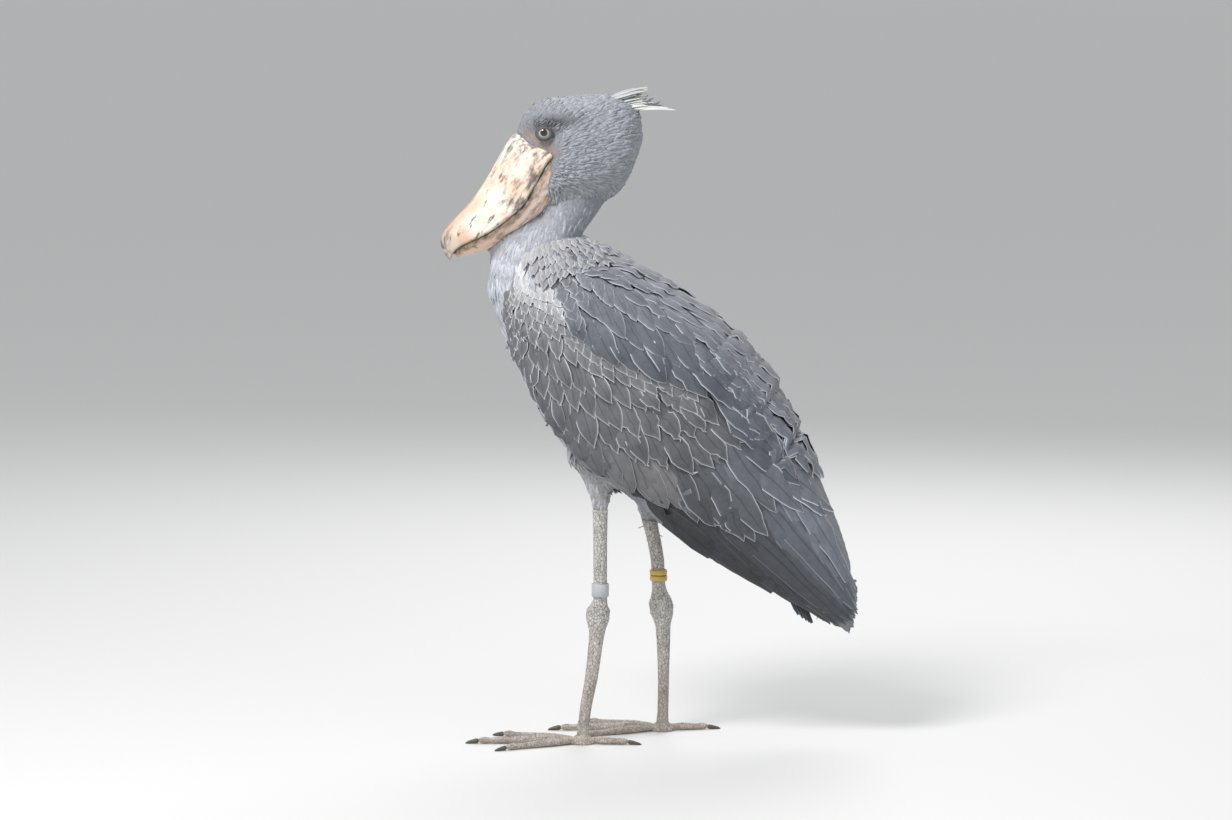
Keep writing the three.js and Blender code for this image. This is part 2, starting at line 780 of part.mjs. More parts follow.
addPart("torso", torso, PAINT.breast);
addPart("neck", neck, PAINT.breast);
addPart("head", head, PAINT.feather);
addPart("crest", without(crestSolid(), headGrown), PAINT.feather);
addPart("eye_left", eyeBall(-1), PAINT.eye);
addPart("eye_right", eyeBall(1), PAINT.eye);
addPart("beak_upper", billUpper, PAINT.horn);
addPart("beak_lower", billLower, PAINT.horn);
addPart("wing_left", without(wing, torsoGrown, neckGrown), PAINT.wing);
addPart("wing_right", without(wing.mirror([0, 1, 0]), torsoGrown, neckGrown), PAINT.wing);
addPart("tail", without(tailSolid(), torsoGrown), PAINT.flight);

for (const leg of [LEFT_LEG, RIGHT_LEG]) {
  const name = leg.side < 0 ? "left" : "right";
  const column = legColumn(leg);
  const foot = vec(leg.foot.x, leg.side * HALF_STANCE, 0);
  const { hock, shank, thigh } = leg.cuts;
  addPart(`thigh_${name}`, without(slice(column, thigh, 600), torsoGrown), PAINT.feather);
  addPart(`shank_${name}`, slice(column, shank, thigh), PAINT.leg);
  addPart(`hock_${name}`, slice(column, hock, shank), PAINT.leg);
  const pad = padSolid(foot);
  addPart(`tarsus_${name}`, slice(column, PAD.height - 4 + GAP / 2, hock), PAINT.leg);
  let grownToes = [];
  for (const [toe, degrees, length, rootHalf, tipHalf] of TOES) {
    const turn = THREE.MathUtils.degToRad(leg.heading + leg.side * degrees * -1);
    const piece = toeSolid(foot, turn, length, rootHalf, tipHalf);
    const others = grownToes.length > 0 ? [joined(grownToes)] : [];
    addPart(`toe_${name}_${toe}`, without(piece, ...others), PAINT.leg);
    addPart(`claw_${name}_${toe}`, clawSolid(foot, turn, length, tipHalf), PAINT.claw);
    grownToes.push(toeSolid(foot, turn, length, rootHalf, tipHalf, GAP));
  }
  addPart(`foot_${name}`, without(pad, joined(grownToes)), PAINT.leg);
}

const leftY = -HALF_STANCE;
addPart("ring_left", ringSolid(-79, leftY, 242, 263, 12.4, 14), PAINT.bandGrey);
addPart("ring_right_upper", ringSolid(16.4, -leftY, 260.2, 268.5, 12.6, 14.4), PAINT.bandYellow);
addPart("ring_right_lower", ringSolid(16.8, -leftY, 250.5, 258.8, 12.6, 14.4), PAINT.bandYellow);

export default shoebill;
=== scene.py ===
import math

import bmesh
import bpy
import numpy as np
from mathutils import Matrix, Vector, noise
from mathutils.bvhtree import BVHTree


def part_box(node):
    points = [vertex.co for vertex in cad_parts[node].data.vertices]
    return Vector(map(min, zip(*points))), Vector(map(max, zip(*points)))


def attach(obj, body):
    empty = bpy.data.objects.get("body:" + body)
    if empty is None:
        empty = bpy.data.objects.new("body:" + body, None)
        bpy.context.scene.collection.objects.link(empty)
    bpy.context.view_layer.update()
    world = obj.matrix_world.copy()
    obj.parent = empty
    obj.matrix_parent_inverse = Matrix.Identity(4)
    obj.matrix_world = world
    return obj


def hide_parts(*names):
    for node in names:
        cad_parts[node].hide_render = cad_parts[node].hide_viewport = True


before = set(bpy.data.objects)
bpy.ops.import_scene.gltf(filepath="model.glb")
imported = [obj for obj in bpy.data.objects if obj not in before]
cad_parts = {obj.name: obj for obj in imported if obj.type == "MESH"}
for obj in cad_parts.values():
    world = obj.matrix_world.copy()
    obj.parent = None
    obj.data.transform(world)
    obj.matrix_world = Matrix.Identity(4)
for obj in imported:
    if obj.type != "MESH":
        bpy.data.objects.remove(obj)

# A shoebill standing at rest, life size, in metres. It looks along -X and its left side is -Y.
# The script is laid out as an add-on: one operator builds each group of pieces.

bl_info = {
    "name": "Shoebill",
    "version": (1, 0, 0),
    "blender": (4, 5, 0),
    "location": "View3D > Sidebar > Shoebill",
    "description": "Builds the skin, feathers, bill, eyes and legs of a standing shoebill",
    "category": "Object",
}

BODY = "root"
TRUNK_SLOPE = math.radians(44)  # how steeply the trunk falls towards the tail
TRUNK_START = (-0.193, 0.717)  # x and z on the breast where the trunk's axis begins
BILL_BASE = Vector((-0.19, 0.0, 0.935))
BILL_FALL = math.radians(57)  # how steeply the bill falls from its base
EDGE_WIDTH = 0.011  # how wide the darker olive band along the bill's cutting edges is
BLOTCH_STRETCH = 2.6  # how much longer the bill's blotches are than wide
EYE_RADIUS = 0.012
RING_ANGLE = 0.95  # radians from the gaze to the outer rim of the iris
BODY_NODES = ("torso", "neck", "head", "thigh_left", "thigh_right")
LEG_NODES = ("shank", "hock", "tarsus", "foot")
TOE_NAMES = ("middle", "inner", "outer", "hind")
SEED = 5
VANE_THICKNESS = 0.0006  # of every feather
TUFTS_PER_PIECE = 3300  # keeps each piece of the coat light


def linear(red, green, blue):
    """A colour given as 0 to 255 screen values, as the linear values that Blender uses."""
    return tuple(
        (v / 12.92 if v <= 0.04045 else ((v + 0.055) / 1.055) ** 2.4)
        for v in (red / 255, green / 255, blue / 255)
    )


class ShoebillSettings(bpy.types.PropertyGroup):
    plumage: bpy.props.FloatVectorProperty(
        name="Plumage",
        description="Tint that multiplies every feather's own grey",
        subtype="COLOR",
        default=(1.0, 1.0, 1.0),
        min=0.0,
        max=2.0,
    )
    bill: bpy.props.FloatVectorProperty(
        name="Bill",
        description="Pale horn colour of the bill",
        subtype="COLOR",
        default=linear(248, 233, 220),
        min=0.0,
        max=1.0,
    )
    floor: bpy.props.FloatVectorProperty(
        name="Floor",
        description="Colour of the plain floor",
        subtype="COLOR",
        default=(0.70, 0.70, 0.69),
        min=0.0,
        max=1.0,
    )
    coat_depth: bpy.props.FloatProperty(
        name="Coat depth",
        description="How far the skin lies below the outline of the plumage",
        unit="LENGTH",
        default=0.0042,
        min=0.001,
        max=0.01,
    )
    tuft_spacing: bpy.props.FloatProperty(
        name="Tuft spacing",
        description="Distance between the roots of the small feathers on the breast",
        unit="LENGTH",
        default=0.0088,
        min=0.004,
        max=0.03,
    )


# Places and curves


def on_trunk(along, across, up):
    """A point from the trunk's axes: along the back, across the body, and up out of the back."""
    c, s = math.cos(TRUNK_SLOPE), math.sin(TRUNK_SLOPE)
    x, z = TRUNK_START
    return Vector((x + along * c + up * s, across, z - along * s + up * c))


def trunk_axes(points):
    """(along, up) on the trunk's axes for rows of x, y, z."""
    c, s = math.cos(TRUNK_SLOPE), math.sin(TRUNK_SLOPE)
    dx, dz = points[..., 0] - TRUNK_START[0], points[..., 2] - TRUNK_START[1]
    return dx * c - dz * s, dx * s + dz * c


def curve(rows, t):
    """A point of an even chain of rows at t from 0 to 1, rounded between them."""
    rows = np.asarray(rows, float)
    at = min(max(t, 0.0), 1.0) * (len(rows) - 1)
    i = min(int(at), len(rows) - 2)
    f = at - i
    a, b = rows[i], rows[i + 1]
    before = rows[i - 1] if i > 0 else 2 * a - b
    after = rows[i + 2] if i + 2 < len(rows) else 2 * b - a
    slope_a, slope_b = (b - before) / 2, (after - a) / 2
    f2, f3 = f * f, f * f * f
    return (
        (2 * f3 - 3 * f2 + 1) * a
        + (f3 - 2 * f2 + f) * slope_a
        + (3 * f2 - 2 * f3) * b
        + (f3 - f2) * slope_b
    )


def mix(a, b, t):
    return a + (b - a) * t


def step_between(low, high, value):
    t = np.clip((value - low) / (high - low), 0, 1)
    return t * t * (3 - 2 * t)


def unit(v):
    return v / np.maximum(np.linalg.norm(v, axis=-1, keepdims=True), 1e-9)


# Meshes


def linked(name, data):
    """A new object in the scene."""
    obj = bpy.data.objects.new(name, data)
    bpy.context.scene.collection.objects.link(obj)
    return obj


def piece(name, mesh, material, nodes=()):
    """A finished piece of the bird that rides on its body."""
    obj = linked(name, mesh)
    mesh.materials.clear()
    mesh.materials.append(material)
    mesh.polygons.foreach_set("use_smooth", [True] * len(mesh.polygons))
    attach(obj, BODY)
    if nodes:
        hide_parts(*nodes)
    return obj


def mesh_from(form, name):
    """The mesh of a finished bmesh, which is freed."""
    mesh = bpy.data.meshes.new(name)
    form.to_mesh(mesh)
    form.free()
    return mesh


def joined_copy(nodes, name, extra=()):
    """One mesh with a copy of each CAD node, and of each extra bmesh."""
    whole = bmesh.new()
    for node in nodes:
        whole.from_mesh(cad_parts[node].data)
    for part in extra:
        scratch = mesh_from(part, "scratch")
        whole.from_mesh(scratch)
        bpy.data.meshes.remove(scratch)
    return mesh_from(whole, name)


def remeshed(mesh, voxel, smoothings, *more):
    """The mesh as one closed skin of even faces, smoothed, with more modifiers after that."""
    name = mesh.name
    obj = linked(name, mesh)
    steps = (
        ("REMESH", dict(mode="VOXEL", voxel_size=voxel)),
        ("SMOOTH", dict(factor=0.5, iterations=smoothings)),
        *more,
    )
    for kind, settings in steps:
        modifier = obj.modifiers.new(kind, kind)
        for key, value in settings.items():
            setattr(modifier, key, value)
    graph = bpy.context.evaluated_depsgraph_get()
    result = bpy.data.meshes.new_from_object(obj.evaluated_get(graph))
    bpy.data.objects.remove(obj)
    bpy.data.meshes.remove(mesh)
    result.name = name
    return result


def tree_of(mesh):
    verts = [v.co for v in mesh.vertices]
    return BVHTree.FromPolygons(verts, [p.vertices for p in mesh.polygons])


def mesh_arrays(mesh):
    """Vertex places, vertex normals and triangles of a mesh, as arrays."""
    mesh.calc_loop_triangles()
    places = np.empty(len(mesh.vertices) * 3)
    mesh.vertices.foreach_get("co", places)
    normals = np.empty(len(mesh.vertices) * 3)
    mesh.vertices.foreach_get("normal", normals)
    corners = np.empty(len(mesh.loop_triangles) * 3, int)
    mesh.loop_triangles.foreach_get("vertices", corners)
    return places.reshape(-1, 3), normals.reshape(-1, 3), corners.reshape(-1, 3)


# Feathers


def leaf_faces(rows, columns):
    """The faces of a closed thin leaf whose top and bottom are grids of rows by columns."""
    top = np.arange(rows * columns).reshape(rows, columns)
    bottom = top + rows * columns
    a, b, c, d = top[:-1, :-1], top[:-1, 1:], top[1:, 1:], top[1:, :-1]
    faces = [np.stack([a, b, c, d], -1).reshape(-1, 4)]
    a, b, c, d = bottom[:-1, :-1], bottom[1:, :-1], bottom[1:, 1:], bottom[:-1, 1:]
    faces.append(np.stack([a, b, c, d], -1).reshape(-1, 4))
    rim = np.concatenate([top[0, :], top[1:, -1], top[-1, -2::-1], top[-2::-1, 0]])
    below = rim + rows * columns
    faces.append(np.stack([rim[:-1], below[:-1], below[1:], rim[1:]], -1))
    return np.concatenate(faces)


class FeatherCoat:
    """Gathers closed leaves of one size of grid and makes one mesh of them."""

    def __init__(self, rows, columns):
        self.rows, self.columns = rows, columns
        self.steps = 1 - (1 - np.linspace(0, 1, rows)) ** 1.35
        self.faces = leaf_faces(rows, columns)
        self.places, self.base, self.fringe = [], [], []
        self.patches, self.reach = [], []

    def add(self, spine, out, widths, camber, roll, base, fringe, patch, patch_size):
        """Adds n leaves: spine and out are (n, rows, 3), widths (n, rows), the rest has n rows."""
        n = len(spine)
        ahead = np.gradient(spine, axis=1)
        across = unit(np.cross(ahead, out))
        turn = roll[:, None, None]
        across, out = (
            across * np.cos(turn) + out * np.sin(turn),
            out * np.cos(turn) - across * np.sin(turn),
        )
        u = np.linspace(-1, 1, self.columns)
        half = widths[:, :, None, None] / 2 * u[None, None, :, None]
        arch = camber[:, None, None, None] * (1 - u**2)[None, None, :, None]
        top = spine[:, :, None] + across[:, :, None] * half + out[:, :, None] * arch
        bottom = top - out[:, :, None] * VANE_THICKNESS
        both = np.concatenate([top.reshape(n, -1, 3), bottom.reshape(n, -1, 3)], 1)
        to_side = widths[:, :, None] / 2 * (1 - np.abs(u))
        length = np.linalg.norm(spine[:, -1] - spine[:, 0], axis=1)[:, None, None]
        to_tip = np.broadcast_to(length * (1 - self.steps)[:, None], to_side.shape)
        reach = np.stack([to_side, to_tip], -1).reshape(n, -1, 2) * 1000
        self.places.append(both)
        self.reach.append(np.concatenate([reach, reach], 1))
        self.base.append(base)
        self.fringe.append(fringe)
        self.patches.append(np.concatenate([patch, patch_size], 1))

    def mesh(self, name):
        """One mesh of all the leaves, with their colours and UV maps."""
        places = np.concatenate(self.places)
        count, per_leaf = places.shape[:2]
        faces = self.faces[None] + (np.arange(count) * per_leaf)[:, None, None]
        corners = faces.reshape(-1).astype(np.int32)
        mesh = bpy.data.meshes.new(name)
        mesh.vertices.add(count * per_leaf)
        mesh.vertices.foreach_set("co", places.astype(np.float32).ravel())
        mesh.loops.add(len(corners))
        mesh.polygons.add(len(corners) // 4)
        mesh.polygons.foreach_set("loop_start", np.arange(0, len(corners), 4, dtype=np.int32))
        mesh.loops.foreach_set("vertex_index", corners)
        mesh.update(calc_edges=True)
        for label, values in (("base", self.base), ("fringe", self.fringe)):
            colours = np.repeat(np.concatenate(values), per_leaf, axis=0)
            layer = mesh.color_attributes.new(label, "FLOAT_COLOR", "POINT")
            layer.data.foreach_set("color", colours.astype(np.float32).ravel())
        u, v = np.meshgrid(np.linspace(0, 1, self.columns), self.steps)
        vane = np.tile(np.stack([u.ravel(), v.ravel()], -1), (2 * count, 1))
        patches = np.repeat(np.concatenate(self.patches), per_leaf, axis=0)
        maps = {
            "Vane": vane,
            "Reach": np.concatenate(self.reach).reshape(-1, 2),
            "OFBake": patches[:, :2] + (vane - 0.5) * patches[:, 2:],
        }
        for label, values in maps.items():
            layer = mesh.uv_layers.new(name=label)
            layer.data.foreach_set("uv", values[corners].astype(np.float32).ravel())
        return mesh


def leaf_widths(steps, widest, point, root_width):
    """How wide a feather is at each step. A point of 1 ends it evenly, and less is blunter."""
    before = mix(root_width, 1, np.sin(math.pi / 2 * np.clip(steps / widest, 0, 1)))
    after = np.cos(math.pi / 2 * np.clip((steps - widest) / (1 - widest), 0, 1)) ** point
    return np.maximum(np.where(steps < widest, before, after), 0.03)


# The face that the wing feathers lie on


class FeatherBed:
    """The smooth outer face of one side of the folded wings, found from the frame's solids."""

    FIRST, LAST = -0.066, 0.752
    ALONG_STEPS, TURN_STEPS = 103, 61

    def __init__(self, side, tree, places):
        self.side = side
        self.alongs = np.linspace(self.FIRST, self.LAST, self.ALONG_STEPS)
        self.turns = np.linspace(0.02, math.pi * 0.86, self.TURN_STEPS)
        along, up = trunk_axes(places)
        middles = []
        for a in self.alongs:
            near = up[np.abs(along - max(a, -0.01)) < 0.02]
            middles.append((near.min() + near.max()) / 2 if len(near) else np.nan)
        self.middles = self._filled(np.array(middles))
        reach = np.full((self.ALONG_STEPS, self.TURN_STEPS), np.nan)
        for i, a in enumerate(self.alongs):
            for j, turn in enumerate(self.turns):
                out = self._out(turn)
                middle = on_trunk(a, 0, self.middles[i])
                hit = tree.ray_cast(middle + out * 0.4, -out, 0.4)
                if hit[0] is not None:
                    reach[i, j] = (hit[0] - middle).length
        for j in range(self.TURN_STEPS):
            reach[:, j] = self._filled(reach[:, j])
        self.reach = self._blurred(reach)
        self.ups = self.middles[:, None] + self.reach * np.cos(self.turns)[None]

    def _out(self, turn):
        up = on_trunk(0, 0, 1) - on_trunk(0, 0, 0)
        return Vector((0, self.side, 0)) * math.sin(turn) + up * math.cos(turn)

    @staticmethod
    def _filled(row):
        known = ~np.isnan(row)
        return np.interp(np.arange(len(row)), np.flatnonzero(known), row[known])

    @staticmethod
    def _blurred(grid, rounds=4):
        for _ in range(rounds):
            padded = np.pad(grid, 1, mode="edge")
            grid = (
                padded[:-2, 1:-1] + padded[2:, 1:-1] + padded[1:-1, :-2] + padded[1:-1, 2:]
            ) / 8 + padded[1:-1, 1:-1] / 2
        return grid

    def _reach_at(self, along, turn):
        """How far from the axis the face is, read between the grid's points."""
        lasts = self.ALONG_STEPS - 1, self.TURN_STEPS - 1
        i = np.clip((along - self.FIRST) / (self.LAST - self.FIRST), 0, 1) * lasts[0]
        span = self.turns[-1] - self.turns[0]
        j = np.clip((turn - self.turns[0]) / span, 0, 1) * lasts[1]
        i0 = np.minimum(i.astype(int), lasts[0] - 1)
        j0 = np.minimum(j.astype(int), lasts[1] - 1)
        fi, fj = i - i0, j - j0
        return (
            self.reach[i0, j0] * (1 - fi) * (1 - fj)
            + self.reach[i0 + 1, j0] * fi * (1 - fj)
            + self.reach[i0, j0 + 1] * (1 - fi) * fj
            + self.reach[i0 + 1, j0 + 1] * fi * fj
        )

    def turn_at(self, along, up):
        """The turn round the trunk, 0 on the back, where the face is this high above the axis."""
        share = np.clip((along - self.FIRST) / (self.LAST - self.FIRST), 0, 1)
        falling = np.minimum.accumulate(self.ups[int(round(share * (self.ALONG_STEPS - 1)))])
        return float(np.interp(-up, -falling, self.turns))

    def place(self, along, turn):
        """Points on the face, for arrays of along and turn."""
        reach = self._reach_at(along, turn)
        middle = np.interp(along, self.alongs, self.middles)
        c, s = math.cos(TRUNK_SLOPE), math.sin(TRUNK_SLOPE)
        up = middle + reach * np.cos(turn)
        return np.stack(
            [
                TRUNK_START[0] + along * c + up * s,
                self.side * reach * np.sin(turn),
                TRUNK_START[1] - along * s + up * c,
            ],
            -1,
        )

    def face(self, along, turn):
        """(place, outward direction) on the face."""
        step, lean = 0.006, 0.05  # metres along and radians round, to each side
        down = self.place(along + step, turn) - self.place(along - step, turn)
        round_ = self.place(along, turn + lean) - self.place(along, turn - lean)
        return self.place(along, turn), unit(np.cross(down, round_)) * self.side


# One side's feathers, tier by tier from the flight feathers up. Tips and roots are [along, up] on
# the trunk's axes in millimetres, from the front to the back, as are the lengths and widths. lie is
# the shafts' direction from the trunk's axis in degrees. A fringe's last value is its strength. A
# turned tier has tips of [along, turn], with the turn in degrees from the back's middle.
COVERT = dict(point=1.1, widest=0.52, lie=(-48, -4))
SCAPULAR = dict(point=0.7, widest=0.5, lie=(-30, -2))
WING_TIERS = (
    dict(
        count=17, width=[40, 42, 44, 40], point=0.6, widest=0.4,
        roots=[(292, -104), (330, -80), (360, -30), (390, 40), (430, 116)],
        tips=[
            (545, -88), (604, -62), (664, -54), (712, -40), (738, -20), (742, -4), (732, 12),
            (712, 32),
        ],
        base=[(60, 62, 67), (66, 69, 75), (84, 89, 98), (122, 129, 143)],
        fringe=[(84, 87, 93, 120), (120, 126, 136, 150), (185, 190, 200, 190)],
    ),
    dict(
        count=13, width=[36, 42, 46], length=[80, 110, 130], point=0.6, widest=0.5,
        lie=(-44, -14),
        tips=[
            (60, -104), (130, -122), (190, -130), (250, -122), (310, -108), (360, -92),
            (424, -60),
        ],
        base=[(84, 87, 93), (100, 103, 110), (124, 126, 131)],
        fringe=[(130, 132, 138, 160), (158, 160, 165, 170), (176, 176, 180, 180)],
    ),
    dict(
        count=11, width=[40, 46, 50], length=[120, 180, 220], point=0.75, widest=0.55,
        lie=(-20, -4),
        tips=[
            (432, -66), (470, -46), (492, -38), (516, -30), (537, -6), (520, 46), (572, 74),
            (594, 96),
        ],
        base=[(82, 86, 93), (90, 95, 103), (120, 126, 138)],
        fringe=[(190, 193, 200, 220), (214, 217, 223, 235), (232, 234, 240, 245)],
    ),
    dict(
        COVERT, count=17, width=[30, 35, 37], length=[66, 92, 104],
        tips=[
            (24, -70), (60, -92), (100, -104), (148, -112), (190, -109), (228, -92), (271, -68),
            (304, -58), (331, -38), (376, -14), (396, 24), (404, 62), (408, 92),
        ],
        base=[(104, 107, 114), (98, 101, 108)],
        fringe=[(206, 208, 214, 235), (222, 224, 229, 245)],
    ),
    dict(
        COVERT, count=18, width=[27, 31, 33], length=[58, 78, 84],
        tips=[
            (8, -54), (46, -80), (98, -96), (157, -76), (215, -50), (278, -24), (332, 26),
            (352, 78),
        ],
        base=[(108, 111, 118), (104, 107, 114)],
        fringe=[(210, 212, 218, 240), (222, 224, 229, 245)],
    ),
    dict(
        COVERT, count=18, width=[24, 27, 28], length=[50, 64, 70],
        tips=[(-6, -44), (21, -66), (70, -66), (129, -50), (190, -24), (251, 14), (315, 66)],
        base=[(112, 115, 122), (110, 113, 120)],
        fringe=[(212, 214, 220, 240), (222, 224, 229, 245)],
    ),
    dict(
        COVERT, count=19, width=[21, 24, 25], length=[44, 56, 60],
        tips=[(-16, -34), (6, -50), (58, -40), (118, -18), (181, 9), (247, 44), (301, 81)],
        base=[(118, 121, 127), (116, 119, 126)],
        fringe=[(214, 216, 222, 240), (222, 224, 229, 245)],
    ),
    dict(
        COVERT, count=19, width=[18, 21, 23], length=[38, 48, 52],
        tips=[(-24, -22), (-4, -34), (44, -20), (98, 0), (150, 14), (205, 38), (262, 64)],
        base=[(126, 129, 135), (122, 125, 132)],
        fringe=[(218, 220, 225, 240), (224, 226, 231, 245)],
    ),
    dict(
        COVERT, count=12, width=[17, 19, 20], length=[34, 38, 40],
        tips=[(-28, -8), (-10, -18), (30, -6), (66, 8), (100, 16)],
        base=[(148, 150, 156), (130, 133, 140)],
        fringe=[(224, 226, 231, 240), (226, 228, 233, 245)],
    ),
    dict(
        COVERT, count=11, width=[16, 18, 19], length=[32, 34, 36],
        tips=[(-32, 6), (-12, -4), (16, 8), (42, 20), (66, 24)],
        base=[(184, 186, 192), (156, 159, 166)],
        fringe=[(232, 234, 239, 240), (226, 228, 233, 240)],
    ),
    dict(
        COVERT, count=9, width=[15, 17, 18], length=[30, 32, 34],
        tips=[(-34, 22), (-14, 12), (10, 22), (38, 36)],
        base=[(206, 208, 214), (180, 183, 190)],
        fringe=[(236, 238, 243, 240), (228, 230, 235, 240)],
    ),
    dict(
        SCAPULAR, count=17, width=[20, 30, 44, 52, 52], length=[36, 60, 100, 140, 165],
        tips=[
            (40, 44), (66, 38), (88, 24), (118, 26), (148, 24), (198, 50), (256, 72), (317, 100),
            (389, 120), (443, 106), (515, 92),
        ],
        base=[(112, 117, 126), (98, 105, 115), (92, 99, 109)],
        fringe=[(200, 203, 211, 220), (206, 210, 217, 235), (206, 210, 217, 235)],
    ),
    dict(
        SCAPULAR, count=17, width=[17, 26, 36, 42, 40], length=[32, 52, 88, 120, 136], camber=0.07,
        tips=[
            (24, 64), (50, 64), (76, 60), (104, 64), (134, 70), (172, 78), (226, 94), (286, 118),
            (344, 130), (396, 128), (450, 116),
        ],
        base=[(120, 125, 134), (106, 113, 123), (98, 105, 116)],
        fringe=[(204, 207, 215, 220), (206, 210, 217, 230), (204, 208, 216, 230)],
    ),
    dict(
        SCAPULAR, count=17, width=[15, 22, 30, 34, 32], length=[30, 44, 70, 96, 108], camber=0.09,
        tips=[
            (6, 82), (34, 84), (62, 86), (94, 92), (130, 100), (172, 108), (222, 134), (284, 156),
            (330, 148), (372, 144), (412, 134),
        ],
        base=[(130, 134, 143), (116, 122, 132), (110, 117, 128)],
        fringe=[(206, 209, 217, 215), (206, 210, 217, 225), (204, 208, 216, 220)],
    ),
)


# The turn and the colour of each row of feathers that runs down the back
BACK_ROWS = (
    (46, (116, 123, 134)),
    (35, (120, 126, 138)),
    (24, (126, 132, 143)),
    (13, (132, 137, 147)),
    (4, (136, 141, 150)),
)


def back_tiers():
    tiers = []
    for k, (turn, colour) in enumerate(BACK_ROWS):
        alongs = (-14 + k, 20 + k, 70, 150, 250, 350, 440, 548 - turn)
        tiers.append(dict(
            SCAPULAR, count=21, width=[16, 22, 28, 31, 26], length=[28, 42, 64, 84, 70],
            turned=True, camber=0.1,
            tips=[(along, turn) for along in alongs],
            base=[colour, [0.95 * c for c in colour]],
            fringe=[(208, 211, 219, 200), (206, 210, 218, 205)],
        ))
    return tuple(tiers)


# Rows of small pale feathers that lead from the neck onto the shoulders, from the back up
MANTLE_ROWS = 4
MANTLE_STEP = 15
MANTLE_TIPS = ((2, 34), (10, 62), (22, 88), (38, 114), (58, 140))


def mantle_tiers():
    tiers = []
    for k in range(MANTLE_ROWS):
        pale = 9 * k
        tiers.append(dict(
            count=13, width=[13, 15, 16], length=[30, 32, 34], point=0.8, widest=0.5,
            lie=(-56, -14),
            tips=[(along - MANTLE_STEP * k, up) for along, up in MANTLE_TIPS],
            base=[(150 + pale, 153 + pale, 160 + pale)] * 2,
            fringe=[(210, 213, 220, 190 - 30 * k)] * 2,
        ))
    return tuple(tiers)


def between_colours(rows, t):
    values = curve([[*linear(*row[:3]), *[v / 255 for v in row[3:]]] for row in rows], t)
    return np.clip(values, 0, 1)


ROOT_DEPTH = 0.0052  # how far a wing feather's root lies under the face
TIP_RISE = 0.0008  # how far its tip stands over the face
LAYER_RISE = 0.00022  # how much higher each row lies than the one under it
FEATHER_ROLL = 0.045  # how far each feather leans onto the next, in radians
FEATHER_WARMTH = (1.0, 0.96, 0.91)  # takes the blue of the soft light out of the greys


def row_value(values, t):
    """A length or width at t along a row, from millimetres."""
    return curve([[v] for v in values], t)[0] * 0.001


def feather_line(tier, t, rng):
    """Root and tip of one feather of a tier, on the trunk's axes or as (along, turn)."""
    tip = curve(tier["tips"], t) * 0.001 + rng.uniform(-0.0018, 0.0018, 2)
    if "roots" in tier:
        return curve(tier["roots"], t) * 0.001, tip
    lie = 0.0
    if "turned" not in tier:
        lie = math.radians(mix(*tier["lie"], t) + rng.uniform(-5, 5))
    length = row_value(tier["length"], t) * rng.uniform(0.94, 1.08)
    return tip - length * np.array([math.cos(lie), math.sin(lie)]), tip


def add_tier(coat, bed, tier, level, levels, rng):
    """Adds one row of feathers to one side; level counts the rows from the lowest."""
    n = tier["count"]
    shape = leaf_widths(coat.steps, tier["widest"], tier["point"], 0.42)
    for i in range(n):
        t = np.clip((i + 0.22 * rng.uniform(-1, 1)) / (n - 1), 0, 1)
        root, tip = feather_line(tier, t, rng)
        along = mix(root[0], tip[0], coat.steps)
        if "turned" in tier:
            turn = np.full(coat.rows, math.radians(tip[1] * 1000)) + rng.uniform(-0.02, 0.06)
        else:
            ups = mix(root[1], tip[1], coat.steps)
            turn = np.array([bed.turn_at(a, u) for a, u in zip(along, ups)])
        place, out = bed.face(along, turn)
        lift = mix(-ROOT_DEPTH, TIP_RISE, step_between(0, 0.8, coat.steps)) + LAYER_RISE * level
        place = place + out * (lift + rng.uniform(0, 0.0004))[:, None]
        width = row_value(tier["width"], t) * rng.uniform(0.94, 1.06)
        base = between_colours(tier["base"], t)[:3] * FEATHER_WARMTH * rng.uniform(0.84, 1.04)
        coat.add(
            place[None],
            out[None],
            (shape * width)[None],
            np.array([width * tier.get("camber", 0.05)]),
            np.array([-bed.side * FEATHER_ROLL]),
            np.array([[*base, 1.0]]),
            between_colours(tier["fringe"], t)[None],
            np.array([[(i + 0.5) / n, (level + 0.5) / levels]]),
            np.array([[0.9 / n, 0.9 / levels]]),
        )


# Small feathers of the head, neck and body


